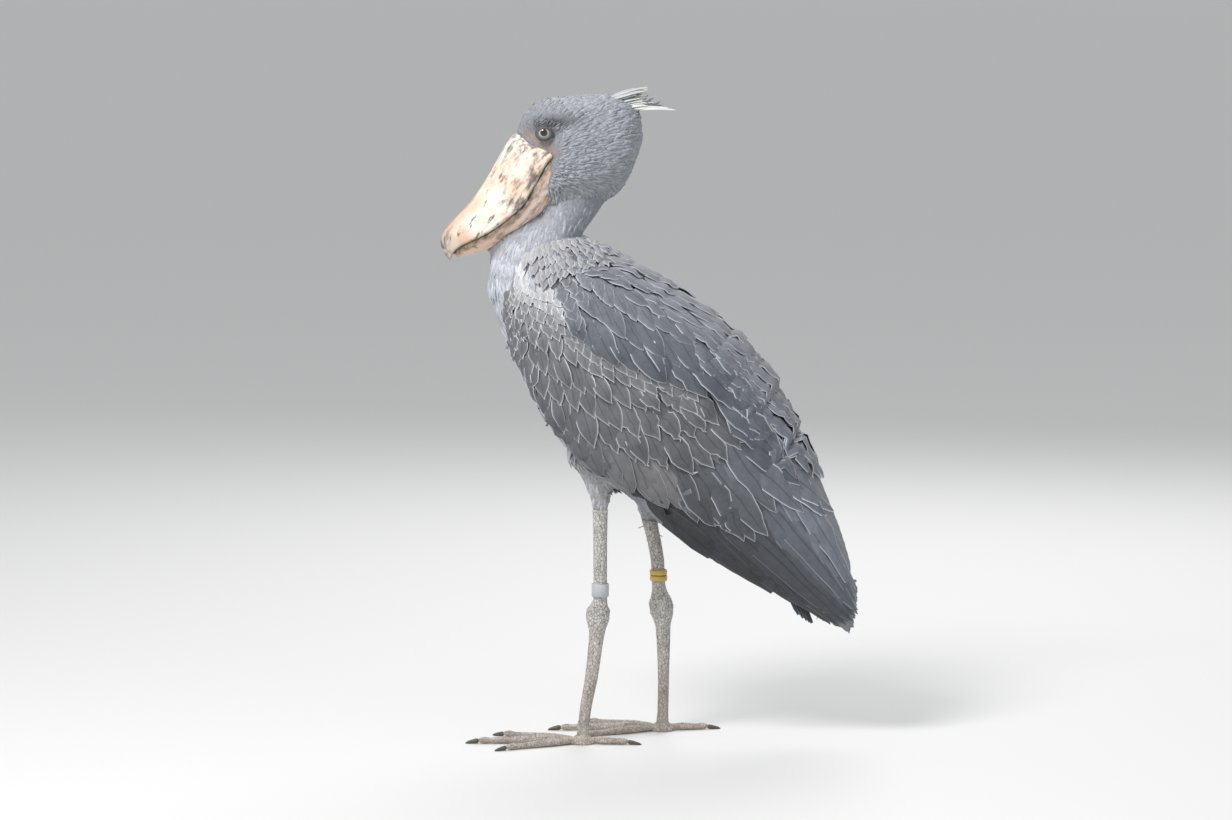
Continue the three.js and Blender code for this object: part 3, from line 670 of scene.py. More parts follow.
class Plumage:
    """What the small feathers look like at each place: length, width, colour and lie."""

    # spacing, length, width, tilt off the skin in degrees, and how round the form is there
    SIZES = {
        "head": (0.0034, 0.0145, 0.0042, 7, 0.065),
        "neck": (0.0048, 0.030, 0.0060, 6, 0.06),
        "torso": (0.0072, 0.036, 0.0125, 6, 0.12),
        "thigh": (0.0052, 0.032, 0.0070, 7, 0.05),
        "wing": (0.0090, 0.030, 0.0140, 5, 0.12),
    }
    # how strong the pale fringe of each feather is
    FRINGES = {"head": 0.25, "neck": 0.35, "torso": 0.45, "thigh": 0.2, "wing": 0.5}
    COLOURS = {
        "head": (152, 155, 161),
        "neck": (176, 179, 186),
        "torso": (186, 188, 195),
        "thigh": (170, 171, 174),
        "wing": (196, 197, 203),
    }

    @staticmethod
    def lie(points, region):
        """The direction that the feathers point in, before it is laid along the skin."""
        away = points - np.array(BILL_BASE)
        along_head = unit(away * [1.0, 0.6, 1.0] + [0.03, 0, -0.01])
        down_neck = np.broadcast_to(unit(np.array([-0.25, 0, -1.0])), points.shape)
        trunk = np.array([math.cos(TRUNK_SLOPE), 0, -math.sin(TRUNK_SLOPE)])
        out_of_neck = unit(points * [0, 2.5, 0] + [0.25, 0, -1])
        if region == "head":
            below = step_between(0.93, 0.87, points[:, 2])[:, None]
            return unit(mix(along_head, down_neck, below))
        if region == "neck":
            low = step_between(0.85, 0.72, points[:, 2])[:, None]
            return unit(mix(down_neck, out_of_neck, low))
        if region == "thigh":
            return np.broadcast_to(np.array([0.1, 0, -1.0]), points.shape)
        low = step_between(0.80, 0.66, points[:, 2])[:, None]
        return unit(mix(out_of_neck, np.broadcast_to(trunk, points.shape), 0.35 + 0.65 * low))

    @classmethod
    def colour(cls, points, region, rng):
        """Linear colour of each feather, with the marks of the head, neck and breast, and a painted
        shadow under the brow.
        """
        n = len(points)
        tone = np.array([linear(*cls.COLOURS[region])] * n)
        x, _, z = points.T
        if region == "head":
            crown = step_between(1.0, 1.05, z)[:, None]
            tone = mix(tone, np.array(linear(158, 161, 167)), crown)
            # painted shadow: the feathers over and behind the eye are darkened where the brow ridge
            # would shade them
            brow = np.exp(-(((x + 0.15) / 0.035) ** 2) - ((z - 1.008) / 0.011) ** 2)[:, None]
            tone = mix(tone, np.array(linear(66, 68, 72)), 0.85 * brow)
            face = np.exp(-(((x + 0.165) / 0.02) ** 2) - ((z - 0.968) / 0.02) ** 2)[:, None]
            tone = mix(tone, np.array(linear(150, 142, 141)), 0.6 * face)
            throat = step_between(0.90, 0.875, z)[:, None]
            tone = mix(tone, np.array(linear(165, 167, 172)), 0.5 * throat)
        if region in ("neck", "torso"):
            breast = step_between(0.86, 0.78, z)[:, None] * step_between(-0.10, -0.2, x)[:, None]
            tone = mix(tone, np.array(linear(188, 191, 199)), breast)
            mantle = (step_between(-0.17, -0.10, x) * step_between(0.70, 0.76, z))[:, None]
            tone = mix(tone, np.array(linear(150, 154, 162)), mantle)
        return np.clip(tone * rng.normal(1, 0.075, (n, 1)), 0, 1)


def spread_roots(places, normals, triangles, spacing, rng):
    """Evenly spread roots on the skin. spacing has each triangle's own distance, 0 for none."""
    a, b, c = (places[triangles[:, k]] for k in range(3))
    area = np.linalg.norm(np.cross(b - a, c - a), axis=1) / 2
    wanted = np.where(spacing > 0, 3.5 * area / np.maximum(spacing, 1e-4) ** 2, 0)
    chosen = rng.choice(len(triangles), int(wanted.sum()), p=wanted / wanted.sum())
    r1 = np.sqrt(rng.random(len(chosen)))[:, None]
    r2 = rng.random(len(chosen))[:, None]
    weights = (1 - r1, r1 * (1 - r2), r1 * r2)
    spots = sum(w * corner[chosen] for w, corner in zip(weights, (a, b, c)))
    outs = sum(w * normals[triangles[chosen, k]] for k, w in enumerate(weights))
    cells = np.floor(spots / spacing[chosen, None]).astype(int)
    keys = np.column_stack([cells, (spacing[chosen] * 1e5).astype(int)])
    _, first = np.unique(keys, axis=0, return_index=True)
    return spots[first], unit(outs[first]), chosen[first]


def nearest_regions(points, finder):
    """The name of the region at each point, from the nearest CAD node."""
    names = []
    for p in points:
        nearest, best = "torso", 1.0
        for name, tree in finder:
            hit = tree.find_nearest(Vector(p), best)
            if hit[3] is not None and hit[3] < best:
                nearest, best = name, hit[3]
        names.append(nearest)
    return np.array(names)


def flattened(points):
    """Each point's place on a square unwrap of the round form that the points cover."""
    low, high = points.min(0), points.max(0)
    d = (points - (low + high) / 2) / (high - low)
    d = d / np.abs(d).sum(1, keepdims=True)
    x, z = d[:, 0], d[:, 2]
    near = d[:, 1] < 0
    sign_x, sign_z = np.where(x < 0, -1, 1), np.where(z < 0, -1, 1)
    u = np.where(near, x, sign_x * (1 - np.abs(z)))
    v = np.where(near, z, sign_z * (1 - np.abs(x)))
    return 0.5 + 0.485 * np.stack([u, v], -1)


# Materials


def nodes_of(name):
    """A new material and a helper that adds nodes to it: add(type, inputs, settings)."""
    material = bpy.data.materials.new(name)
    material.use_nodes = True
    tree = material.node_tree
    tree.nodes.clear()
    shader = tree.nodes.new("ShaderNodeBsdfPrincipled")
    output = tree.nodes.new("ShaderNodeOutputMaterial")
    tree.links.new(shader.outputs[0], output.inputs[0])

    def add(kind, inputs=None, **settings):
        node = tree.nodes.new(kind)
        for key, value in settings.items():
            setattr(node, key, value)
        for key, value in (inputs or {}).items():
            socket_value(tree, node.inputs[key], value)
        return node

    def feed(socket, value):
        tree.links.new(value, shader.inputs[socket])

    return material, shader, add, feed


def socket_value(tree, socket, value):
    """Joins a socket to another one, or sets its value."""
    if isinstance(value, bpy.types.NodeSocket):
        tree.links.new(value, socket)
    else:
        socket.default_value = value


def math_node(add, operation, a, b=0.0):
    return add("ShaderNodeMath", {0: a, 1: b}, operation=operation).outputs[0]


def times(add, a, b):
    return math_node(add, "MULTIPLY", a, b)


def range_node(add, value, low, high, to_low=0.0, to_high=1.0, soft=True):
    inputs = {
        "Value": value, "From Min": low, "From Max": high, "To Min": to_low, "To Max": to_high,
    }
    kind = "SMOOTHSTEP" if soft else "LINEAR"
    return add("ShaderNodeMapRange", inputs, interpolation_type=kind).outputs[0]


def noise_node(add, scale, detail, place=None, roughness=0.5):
    inputs = {"Scale": scale, "Detail": detail, "Roughness": roughness}
    if place is not None:
        inputs["Vector"] = place
    return add("ShaderNodeTexNoise", inputs).outputs[0]


def grey_node(add, value):
    return add("ShaderNodeCombineColor", {0: value, 1: value, 2: value}).outputs[0]


def bump_node(add, height, strength, distance):
    inputs = {"Height": height, "Strength": strength, "Distance": distance}
    return add("ShaderNodeBump", inputs).outputs[0]


def mix_node(add, factor, a, b, blend="MIX"):
    node = add("ShaderNodeMix", data_type="RGBA", blend_type=blend)
    for index, value in ((0, factor), (6, a), (7, b)):
        socket_value(node.id_data, node.inputs[index], value)
    return node.outputs[2]


def shaded(add, colour, shade):
    """The colour made lighter or darker by a grey factor."""
    return mix_node(add, 1.0, colour, grey_node(add, shade), "MULTIPLY")


def paint(red, green, blue):
    """A colour from 0 to 255 screen values, as a colour socket takes it."""
    return (*linear(red, green, blue), 1.0)


def feather_material(settings, name, fringe_width, barb_size):
    """Barbs that slant off a dark shaft, in each feather's own grey, with its pale fringe."""
    material, shader, add, feed = nodes_of(name)
    base = add("ShaderNodeAttribute", attribute_name="base").outputs["Color"]
    edge = add("ShaderNodeAttribute", attribute_name="fringe")
    vane = add("ShaderNodeSeparateXYZ", {0: add("ShaderNodeUVMap", uv_map="Vane").outputs[0]})
    reach = add("ShaderNodeSeparateXYZ", {0: add("ShaderNodeUVMap", uv_map="Reach").outputs[0]})
    from_shaft = math_node(add, "ABSOLUTE", math_node(add, "SUBTRACT", vane.outputs[0], 0.5))
    from_root = vane.outputs[1]
    to_side, to_tip = reach.outputs[0], reach.outputs[1]

    # the fringe, a clear line with a faint glow inside it
    uneven = times(add, math_node(add, "SUBTRACT", noise_node(add, 420.0, 3.0), 0.5), fringe_width)
    near = math_node(add, "ADD", math_node(add, "MINIMUM", to_side, to_tip), uneven)
    line = range_node(add, near, fringe_width * 1.5, fringe_width * 0.8)
    glow = range_node(add, near, fringe_width * 4.5, fringe_width, 0.0, 0.2)
    rim = times(add, math_node(add, "MAXIMUM", line, glow), edge.outputs["Alpha"])
    rim = times(add, rim, range_node(add, from_root, 0.12, 0.4))

    # the vane, with its barbs and its shaft
    slant = math_node(add, "ADD", times(add, to_tip, barb_size), to_side)
    barbs = math_node(add, "SINE", times(add, slant, 3.2))
    streak = range_node(add, barbs, -1.0, 1.0, 0.95, 1.05)
    blotch = range_node(add, noise_node(add, 42.0, 4.0), 0.3, 0.7, 0.9, 1.1)
    shaft = range_node(add, from_shaft, 0.012, 0.05, 0.66, 1.0)
    root = range_node(add, from_root, 0.1, 0.75, 1.12, 0.94)
    shade = times(add, times(add, times(add, streak, blotch), shaft), root)
    colour = mix_node(add, rim, shaded(add, base, shade), edge.outputs["Color"])
    feed("Base Color", mix_node(add, 1.0, colour, (*settings.plumage, 1.0), "MULTIPLY"))
    feed("Normal", bump_node(add, barbs, 0.15, 0.0003))
    shader.inputs["Roughness"].default_value = 0.66
    shader.inputs["Sheen Weight"].default_value = 0.06
    shader.inputs["Specular IOR Level"].default_value = 0.3
    return material


def skin_material():
    """The down under the feathers, in the same greys, with a soft mottle."""
    material, shader, add, feed = nodes_of("under_down")
    base = add("ShaderNodeAttribute", attribute_name="base").outputs["Color"]
    mottle = noise_node(add, 180.0, 4.0)
    feed("Base Color", shaded(add, base, range_node(add, mottle, 0.25, 0.75, 0.6, 0.85)))
    feed("Normal", bump_node(add, mottle, 0.3, 0.001))
    shader.inputs["Roughness"].default_value = 0.9
    return material


def bill_material(settings, lower):
    """Pale horn with grey blotches along the bill, thickest at its base, and olive edges."""
    material, shader, add, feed = nodes_of("bill_lower" if lower else "bill_upper")
    place = add("ShaderNodeTexCoord").outputs["Object"]
    drawn_out = add(
        "ShaderNodeMapping",
        {0: place, "Rotation": (0, -BILL_FALL, 0), "Scale": (BLOTCH_STRETCH, 1.0, 1.0)},
        vector_type="TEXTURE",
    ).outputs[0]
    x = add("ShaderNodeSeparateXYZ", {0: place}).outputs[0]
    broad = noise_node(add, 95.0, 6.0, drawn_out, 0.62)
    fine = noise_node(add, 190.0, 5.0, drawn_out, 0.6)

    # blotches, with specks between them near the base
    near_base = range_node(add, x, -0.29, -0.2)
    level = range_node(add, near_base, 0.0, 1.0, 0.57, 0.455)
    blotch = range_node(add, broad, level, 0.62, 0.0, 0.85, soft=False)
    specks = times(add, range_node(add, fine, 0.58, 0.66, 0.0, 0.55), near_base)
    mark = math_node(add, "MAXIMUM", blotch, specks)

    # horn, rosy in places and darker towards the hook
    rosy = range_node(add, noise_node(add, 24.0, 3.0, place), 0.35, 0.65)
    horn = mix_node(add, rosy, (*settings.bill, 1.0), paint(240, 204, 181))
    if lower:
        horn = mix_node(add, 0.45, horn, paint(214, 176, 152))
        mark = times(add, mark, 0.7)
    towards_hook = range_node(add, x, -0.26, -0.325, 0.0, 0.3)
    horn = mix_node(add, towards_hook, horn, paint(150, 128, 88))

    # a darker olive band along the cutting edges, strongest nearest the other half, and the dark
    # hook
    edge = add("ShaderNodeAttribute", attribute_name="edge").outputs["Fac"]
    edge_band = times(add, edge, range_node(add, fine, 0.35, 0.6, 0.45, 1.0))
    horn = mix_node(add, edge_band, horn, paint(112, 102, 70))
    dark_edge = times(add, edge_band, range_node(add, broad, 0.42, 0.6, 0.0, 0.9))
    on_hook = range_node(add, x, -0.31, -0.335)
    dark_hook = times(add, on_hook, range_node(add, broad, 0.4, 0.6, 0.2, 0.9))
    mark = math_node(add, "MAXIMUM", mark, math_node(add, "MAXIMUM", dark_edge, dark_hook))
    feed("Base Color", mix_node(add, mark, horn, paint(74, 73, 72)))
    feed("Roughness", range_node(add, fine, 0.3, 0.7, 0.38, 0.56))
    relief = math_node(add, "ADD", times(add, fine, 0.6), broad)
    feed("Normal", bump_node(add, relief, 0.25, 0.0006))
    shader.inputs["Subsurface Weight"].default_value = 0.05
    return material


def leg_material():
    """Grey-brown scaly skin with paler plates and dirt in the cracks."""
    material, shader, add, feed = nodes_of("leg_skin")
    place = add("ShaderNodeTexCoord").outputs["Object"]
    tall = add("ShaderNodeMapping", {0: place, "Scale": (1.0, 1.0, 0.72)}).outputs[0]
    scales = {"Vector": tall, "Scale": 235.0}
    to_crack = add("ShaderNodeTexVoronoi", scales, feature="DISTANCE_TO_EDGE").outputs[0]
    crack = range_node(add, to_crack, 0.01, 0.10)
    own_colour = add("ShaderNodeTexVoronoi", scales).outputs["Color"]
    own_grey = add("ShaderNodeRGBToBW", {0: own_colour}).outputs[0]
    z = add("ShaderNodeSeparateXYZ", {0: place}).outputs[2]
    low = range_node(add, z, 0.24, 0.0)
    pale = mix_node(add, low, paint(206, 204, 201), paint(190, 180, 171))
    dark = mix_node(add, low, paint(174, 171, 167), paint(160, 150, 141))
    plate = mix_node(add, crack, paint(124, 118, 111), mix_node(add, own_grey, dark, pale))
    dirt = range_node(add, noise_node(add, 42.0, 5.0, place), 0.4, 0.7, 1.08, 0.84)
    feed("Base Color", shaded(add, plate, dirt))
    feed("Normal", bump_node(add, crack, 0.7, 0.0009))
    shader.inputs["Roughness"].default_value = 0.72
    return material


def plain_material(name, colour, roughness, scale=120.0, bump_size=0.0002, vary=0.14):
    """A simple worn surface: one colour with a soft mottle and a fine bump."""
    material, _, add, feed = nodes_of(name)
    mottle = noise_node(add, scale, 5.0)
    shade = range_node(add, mottle, 0.3, 0.7, 1 - vary, 1 + vary)
    feed("Base Color", shaded(add, (*colour, 1.0), shade))
    feed("Roughness", range_node(add, mottle, 0.3, 0.7, roughness * 0.85, roughness * 1.15))
    feed("Normal", bump_node(add, mottle, 0.3, bump_size))
    return material


def eye_material(name):
    """A dark pupil in a pale green-grey iris with a dark rim, under a clear wet coat."""
    material, shader, add, feed = nodes_of(name)
    ring = add("ShaderNodeAttribute", attribute_name="ring").outputs["Fac"]
    grain = noise_node(add, 700.0, 3.0)
    uneven = times(add, math_node(add, "SUBTRACT", grain, 0.5), 0.03)
    ring = math_node(add, "ADD", ring, uneven)
    streaks = range_node(add, grain, 0.35, 0.65)
    iris = mix_node(add, streaks, paint(140, 144, 124), paint(190, 192, 170))
    outside_pupil = range_node(add, ring, 0.52, 0.56)
    rim = range_node(add, ring, 0.86, 0.94)
    colour = mix_node(add, outside_pupil, (0.004, 0.004, 0.004, 1.0), iris)
    feed("Base Color", mix_node(add, rim, colour, paint(50, 46, 42)))
    shader.inputs["Roughness"].default_value = 0.25
    shader.inputs["Coat Weight"].default_value = 1.0
    shader.inputs["Coat Roughness"].default_value = 0.03
    return material


# The skin and the lines on it

SHARED = {}  # what one operator makes and a later one needs

NODE_REGIONS = {
    "head": "head",
    "neck": "neck",
    "torso": "torso",
    "thigh_left": "thigh",
    "thigh_right": "thigh",
    "wing_left": "wing",
    "wing_right": "wing",
    "beak_upper": "bill",
    "beak_lower": "bill",
    "shank_left": "leg",
    "shank_right": "leg",
}

# How deep the skin lies in each region, as a share of the coat's depth
SKIN_DEPTHS = {
    "head": 0.45,
    "neck": 1.0,
    "torso": 1.0,
    "thigh": 0.7,
    "wing": 0.85,
    "bill": 0.9,
    "leg": 1.0,
}

# Lines on the side of the head, as rows of [x, z] in millimetres
BROW_RIDGE = [(-212, 1000), (-192, 1005), (-170, 1008), (-150, 1001)]
BROW_CREASE = [(-152, 988), (-135, 999), (-119, 1011), (-99, 1021), (-76, 1021)]
EYE_SOCKET = [(-196, 988), (-180, 990), (-160, 984)]
BARE_SKIN = [(-202, 990), (-182, 982), (-166, 972), (-157, 962)]
CHEEK_EDGE = [(-148, 925), (-152, 900), (-160, 878)]


def closed_hull(places, inset):
    """A bmesh of the convex hull of these places, drawn in evenly."""
    hull = bmesh.new()
    verts = [hull.verts.new(p) for p in places]
    found = bmesh.ops.convex_hull(hull, input=verts)
    loose = {
        part
        for part in (*found["geom_interior"], *found["geom_unused"])
        if isinstance(part, bmesh.types.BMVert)
    }
    bmesh.ops.delete(hull, geom=list(loose), context="VERTS")
    hull.normal_update()
    for v in hull.verts:
        v.co -= v.normal * inset
    return hull


def node_places(*names):
    return np.concatenate([mesh_arrays(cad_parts[n].data)[0] for n in names])


def whole_skin():
    """One smooth closed form of the flesh, with hulls that fill the space between the wing tips."""
    wings = node_places("wing_left", "wing_right")
    along, _ = trunk_axes(wings)
    rear = closed_hull(wings[(along > 0.33) & (along < 0.70)][::2], 0.007)
    middle = closed_hull(wings[(along > 0.22) & (along < 0.5)][::2], 0.012)
    mesh = joined_copy((*NODE_REGIONS, "crest"), "skin", (rear, middle))
    return remeshed(mesh, 0.0045, 12)


def wing_beds():
    """The face that each side's wing feathers lie on."""
    outer = joined_copy(("wing_left", "wing_right", "torso"), "outer")
    tree = tree_of(outer)
    bpy.data.meshes.remove(outer)
    wings = node_places("wing_left", "wing_right")
    return {side: FeatherBed(side, tree, wings) for side in (-1, 1)}


def near_line(points, rows, width):
    """1 on a line of [x, z] rows on the side of the head, falling to 0 around it."""
    line = np.array([curve(rows, t) for t in np.linspace(0, 1, 24)]) * 0.001
    gaps = np.linalg.norm(points[:, None, [0, 2]] - line[None], axis=2).min(1)
    return np.exp(-((gaps / width) ** 2)) * step_between(0.012, 0.03, np.abs(points[:, 1]))


def carved_head(places, normals, regions):
    """Raises the brow over each eye, sinks the socket, and parts the crown from the full cheek."""
    head = np.flatnonzero(regions == "head")
    spots = places[head]
    rise = 0.0030 * near_line(spots, BROW_RIDGE, 0.008)
    rise -= 0.0036 * near_line(spots, BROW_CREASE, 0.008)
    rise -= 0.0022 * near_line(spots, EYE_SOCKET, 0.007)
    cheek = np.exp(-(((spots[:, 0] + 0.105) / 0.036) ** 2) - ((spots[:, 2] - 0.955) / 0.042) ** 2)
    rise += 0.0030 * cheek
    carved = places.copy()
    carved[head] += normals[head] * rise[:, None]
    return carved


def bare_skin(points):
    """1 on the bare skin between the eye, the bill and the corner of the mouth."""
    return np.clip(1.25 * near_line(points, BARE_SKIN, 0.0085), 0, 1)


def skin_tones(places, regions):
    """Each skin point's colour: its feathers' grey, and the bare skin round the eye."""
    rng = np.random.default_rng(SEED)
    tone = np.ones((len(places), 4))
    for region in Plumage.SIZES:
        inside = regions == region
        tone[inside, :3] = Plumage.colour(places[inside], region, rng)
    for region, colour in (
        ("wing", (150, 152, 158)),
        ("bill", (120, 110, 104)),
        ("leg", (150, 148, 146)),
    ):
        tone[regions == region, :3] = linear(*colour)
    bare = bare_skin(places)[:, None] * (regions == "head")[:, None]
    tone[:, :3] = mix(tone[:, :3], np.array(linear(166, 152, 147)), bare)
    return tone


# The pieces


class SHOEBILL_OT_skin(bpy.types.Operator):
    """One smooth skin under the whole plumage, in place of the flesh of the head, neck and trunk"""

    bl_idname = "shoebill.skin"
    bl_label = "Skin"

    def execute(self, context):
        settings = context.scene.shoebill
        mesh = whole_skin()
        finder = [
            (region, tree_of(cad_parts[node].data)) for node, region in NODE_REGIONS.items()
        ]
        places, normals, _ = mesh_arrays(mesh)
        regions = nearest_regions(places, finder)
        places = carved_head(places, normals, regions)
        depth = settings.coat_depth * np.array([SKIN_DEPTHS[region] for region in regions])
        places = places - normals * depth[:, None]
        mesh.vertices.foreach_set("co", places.astype(np.float32).ravel())
        mesh.update()
        layer = mesh.color_attributes.new("base", "FLOAT_COLOR", "POINT")
        tones = skin_tones(places, regions)
        layer.data.foreach_set("color", tones.astype(np.float32).ravel())
        SHARED.update(skin=mesh, regions=regions, beds=wing_beds())
        piece("skin", mesh, skin_material(), BODY_NODES)
        return {"FINISHED"}


class SHOEBILL_OT_body_feathers(bpy.types.Operator):
    """The small feathers of the head, neck, breast, belly and thighs"""

    bl_idname = "shoebill.body_feathers"
    bl_label = "Body feathers"

    def execute(self, context):
        settings = context.scene.shoebill
        rng = np.random.default_rng(SEED + 1)
        places, normals, triangles = mesh_arrays(SHARED["skin"])
        regions = SHARED["regions"][triangles[:, 0]]
        middles = places[triangles].mean(1)
        along, up = trunk_axes(middles)
        spacing = np.zeros(len(triangles))
        scale = settings.tuft_spacing / Plumage.SIZES["torso"][0] * 1.0
        for region, (gap, *_) in Plumage.SIZES.items():
            spacing[regions == region] = gap * scale
        spacing[(regions == "wing") & (along > 0.0)] = 0
        spacing[(regions == "torso") & (along > 0.10) & (up > 0.0)] = 0
        spacing[(middles[:, 0] > -0.05) & (middles[:, 2] > 1.04)] = 0
        from_eye = np.linalg.norm(middles[:, [0, 2]] - [-0.169, 0.992], axis=1)
        spacing[(regions == "head") & (from_eye < 0.0125)] = 0
        spacing[(regions == "head") & (bare_skin(middles) > 0.5)] = 0
        roots, outs, chosen = spread_roots(places, normals, triangles, spacing, rng)
        regions = regions[chosen]
        material = feather_material(settings, "feather_small", 0.55, 2.0)
        for region in Plumage.SIZES:
            inside = np.flatnonzero(regions == region)
            spots = flattened(roots[inside])
            parts = len(inside) // TUFTS_PER_PIECE + 1
            for number, chunk in enumerate(np.array_split(np.arange(len(inside)), parts)):
                coat = FeatherCoat(5 if region == "torso" else 4, 3)
                picked = inside[chunk]
                self.add_tufts(coat, roots[picked], outs[picked], region, spots[chunk], rng)
                name = f"coat_{region}_{number + 1}"
                piece(name, coat.mesh(name), material)
        return {"FINISHED"}

    @staticmethod
    def add_tufts(coat, roots, outs, region, patch, rng):
        _, length, width, tilt, roundness = Plumage.SIZES[region]
        n = len(roots)
        lie = Plumage.lie(roots, region)
        lie = unit(lie - outs * np.sum(lie * outs, 1, keepdims=True))
        lie = unit(lie + np.cross(lie, outs) * rng.normal(0, 0.15, (n, 1)))
        grow = np.ones(n)
        lean = np.radians(tilt) * rng.uniform(0.3, 1.5, n)
        if region == "head":
            near = np.linalg.norm(roots - [BILL_BASE.x - 0.005, 0, BILL_BASE.z + 0.02], axis=1)
            grow = mix(0.5, 1.2, step_between(0.04, 0.12, near))
            lean += 0.2 * near_line(roots, CHEEK_EDGE, 0.012)
        if region in ("neck", "torso"):
            grow = mix(1.0, 0.75, step_between(-0.19, -0.12, roots[:, 0]) * (roots[:, 2] > 0.7))
        lengths = length * grow * rng.uniform(0.75, 1.2, n)
        widths = width * grow * rng.uniform(0.85, 1.15, n)
        reach = lengths[:, None, None] * coat.steps[None, :, None]
        rise = np.tan(lean)[:, None, None] * reach - reach**2 / (2 * roundness)
        spine = roots[:, None] + lie[:, None] * reach + outs[:, None] * (rise - 0.0006)
        base = np.concatenate([Plumage.colour(roots, region, rng), np.ones((n, 1))], 1)
        pale = np.full((n, 1), Plumage.FRINGES[region])
        fringe = np.concatenate([np.clip(base[:, :3] * 1.35, 0, 0.82), pale], 1)
        coat.add(
            spine,
            np.broadcast_to(outs[:, None], spine.shape),
            widths[:, None] * leaf_widths(coat.steps, 0.4, 0.9, 0.5),
            widths * 0.1,
            rng.normal(0, 0.12, n),
            base,
            fringe,
            patch,
            np.full((n, 2), 0.003),
        )


class SHOEBILL_OT_wing_feathers(bpy.types.Operator):
    """The folded wings: flight feathers, rows of coverts, scapulars and the feathers of the back"""

    bl_idname = "shoebill.wing_feathers"
    bl_label = "Wing feathers"

    def execute(self, context):
        material = feather_material(context.scene.shoebill, "feather_vane", 1.0, 2.6)
        rng = np.random.default_rng(SEED + 2)
        tiers = WING_TIERS + back_tiers() + mantle_tiers()
        for side, node in ((-1, "wing_left"), (1, "wing_right")):
            coat = FeatherCoat(11, 7)
            for level, tier in enumerate(tiers):
                add_tier(coat, SHARED["beds"][side], tier, level, len(tiers), rng)
            name = "feathers_" + node
            piece(name, coat.mesh(name), material, (node,))
        SHARED["vane"] = material
        return {"FINISHED"}


class SHOEBILL_OT_tail_and_crest(bpy.types.Operator):
    """The folded tail and the ragged crest on the nape"""

    bl_idname = "shoebill.tail_and_crest"
    bl_label = "Tail and crest"

    def execute(self, context):
        rng = np.random.default_rng(SEED + 3)
        tail_sides = [2 * k / 11 - 1 for k in range(12)]
        self.fan(
            ("feathers_tail", "flight_feather", "tail"), rng, tail_sides,
            ends=self.tail_feather,
            outward=lambda side: Vector((0.7, side * 0.3, 0.7)),
            width=0.034, widest=0.7, point=0.4,
            bases=[(70, 74, 81)] * 2,
            fringes=[(120, 124, 131, 150)] * 2,
        )
        self.fan(
            ("feathers_crest", "head_feather", "crest"), rng, [None] * 64,
            ends=self.crest_feather,
            outward=lambda side: Vector((0.4, side * 0.6, 1)),
            width=0.0115, widest=0.35, point=1.0,
            bases=[(176, 179, 182), (214, 216, 210)],
            fringes=[(226, 228, 222, 160)] * 2,
        )
        return {"FINISHED"}

    @staticmethod
    def tail_feather(_, side):
        root = on_trunk(0.47, side * 0.016, -0.006 - 0.003 * abs(side))
        tip = on_trunk(0.698 - 0.03 * side * side, side * 0.034, -0.060 - 0.004 * abs(side))
        return root, tip

    @staticmethod
    def crest_feather(t, side):
        root = Vector((-0.066, 0.0, 1.046)).lerp(Vector((-0.028, 0.0, 1.028)), t)
        tip = Vector((-0.001, 0.0, 1.064)).lerp(Vector((0.044, 0.0, 1.026)), t)
        root.y, tip.y = side * 0.012, side * 0.014
        reach = 1 - 0.3 * abs(side) * (0.1 < t < 0.9) - 0.22 * math.sin(math.pi * t)
        if 0.03 < t < 0.97:
            reach *= 0.7 + 0.3 * abs(math.sin(23 * t))
        return root, root.lerp(tip, reach)

    @staticmethod
    def fan(names, rng, sides, ends, outward, width, widest, point, bases, fringes):
        """One piece of feathers side by side. A side of None is drawn at random."""
        name, slot, node = names
        coat = FeatherCoat(9, 5)
        shape = leaf_widths(coat.steps, widest, point, 0.5)
        steps = coat.steps[:, None]
        count = len(sides)
        for i, side in enumerate(sides):
            t = i / (count - 1)
            if side is None:
                side = rng.uniform(-1, 1)
            root, tip = (np.array(end) for end in ends(t, side))
            out = np.array(outward(side).normalized())
            shaft = unit(tip - root)
            out = unit(out - shaft * np.dot(out, shaft))
            sag = np.linalg.norm(tip - root) * 0.06
            spine = root + (tip - root) * steps + out * sag * 4 * steps * (1 - steps)
            base = between_colours(bases, t)[:3] * rng.uniform(0.92, 1.08)
            coat.add(
                spine[None],
                np.broadcast_to(out, (1, coat.rows, 3)),
                (shape * width)[None],
                np.array([width * 0.08]),
                np.zeros(1),
                np.array([[*base, 1.0]]),
                between_colours(fringes, t)[None],
                np.array([[(i + 0.5) / count, 0.5]]),
                np.array([[0.9 / count, 0.9]]),
            )
        piece(name, coat.mesh(name), SHARED["vane"], (node,))


def ring_of_points(count):
    return [2 * math.pi * k / count for k in range(count)]


def tube_loop(name, centres, outs, radius, sides=10):
    """A closed loop of tube through these centres, each with its outward direction."""
    mesh = bmesh.new()
    rings = []
    n = len(centres)
    for i, (centre, out) in enumerate(zip(centres, outs)):
        ahead = (centres[(i + 1) % n] - centres[i - 1]).normalized()
        across = ahead.cross(out).normalized()
        rings.append([
            mesh.verts.new(centre + (across * math.cos(a) + out * math.sin(a)) * radius)
            for a in ring_of_points(sides)
        ])
    for i in range(n):
        a, b = rings[i], rings[(i + 1) % n]
        for k in range(sides):
            mesh.faces.new((a[k], a[(k + 1) % sides], b[(k + 1) % sides], b[k]))
    bmesh.ops.recalc_face_normals(mesh, faces=mesh.faces)
    return mesh_from(mesh, name)


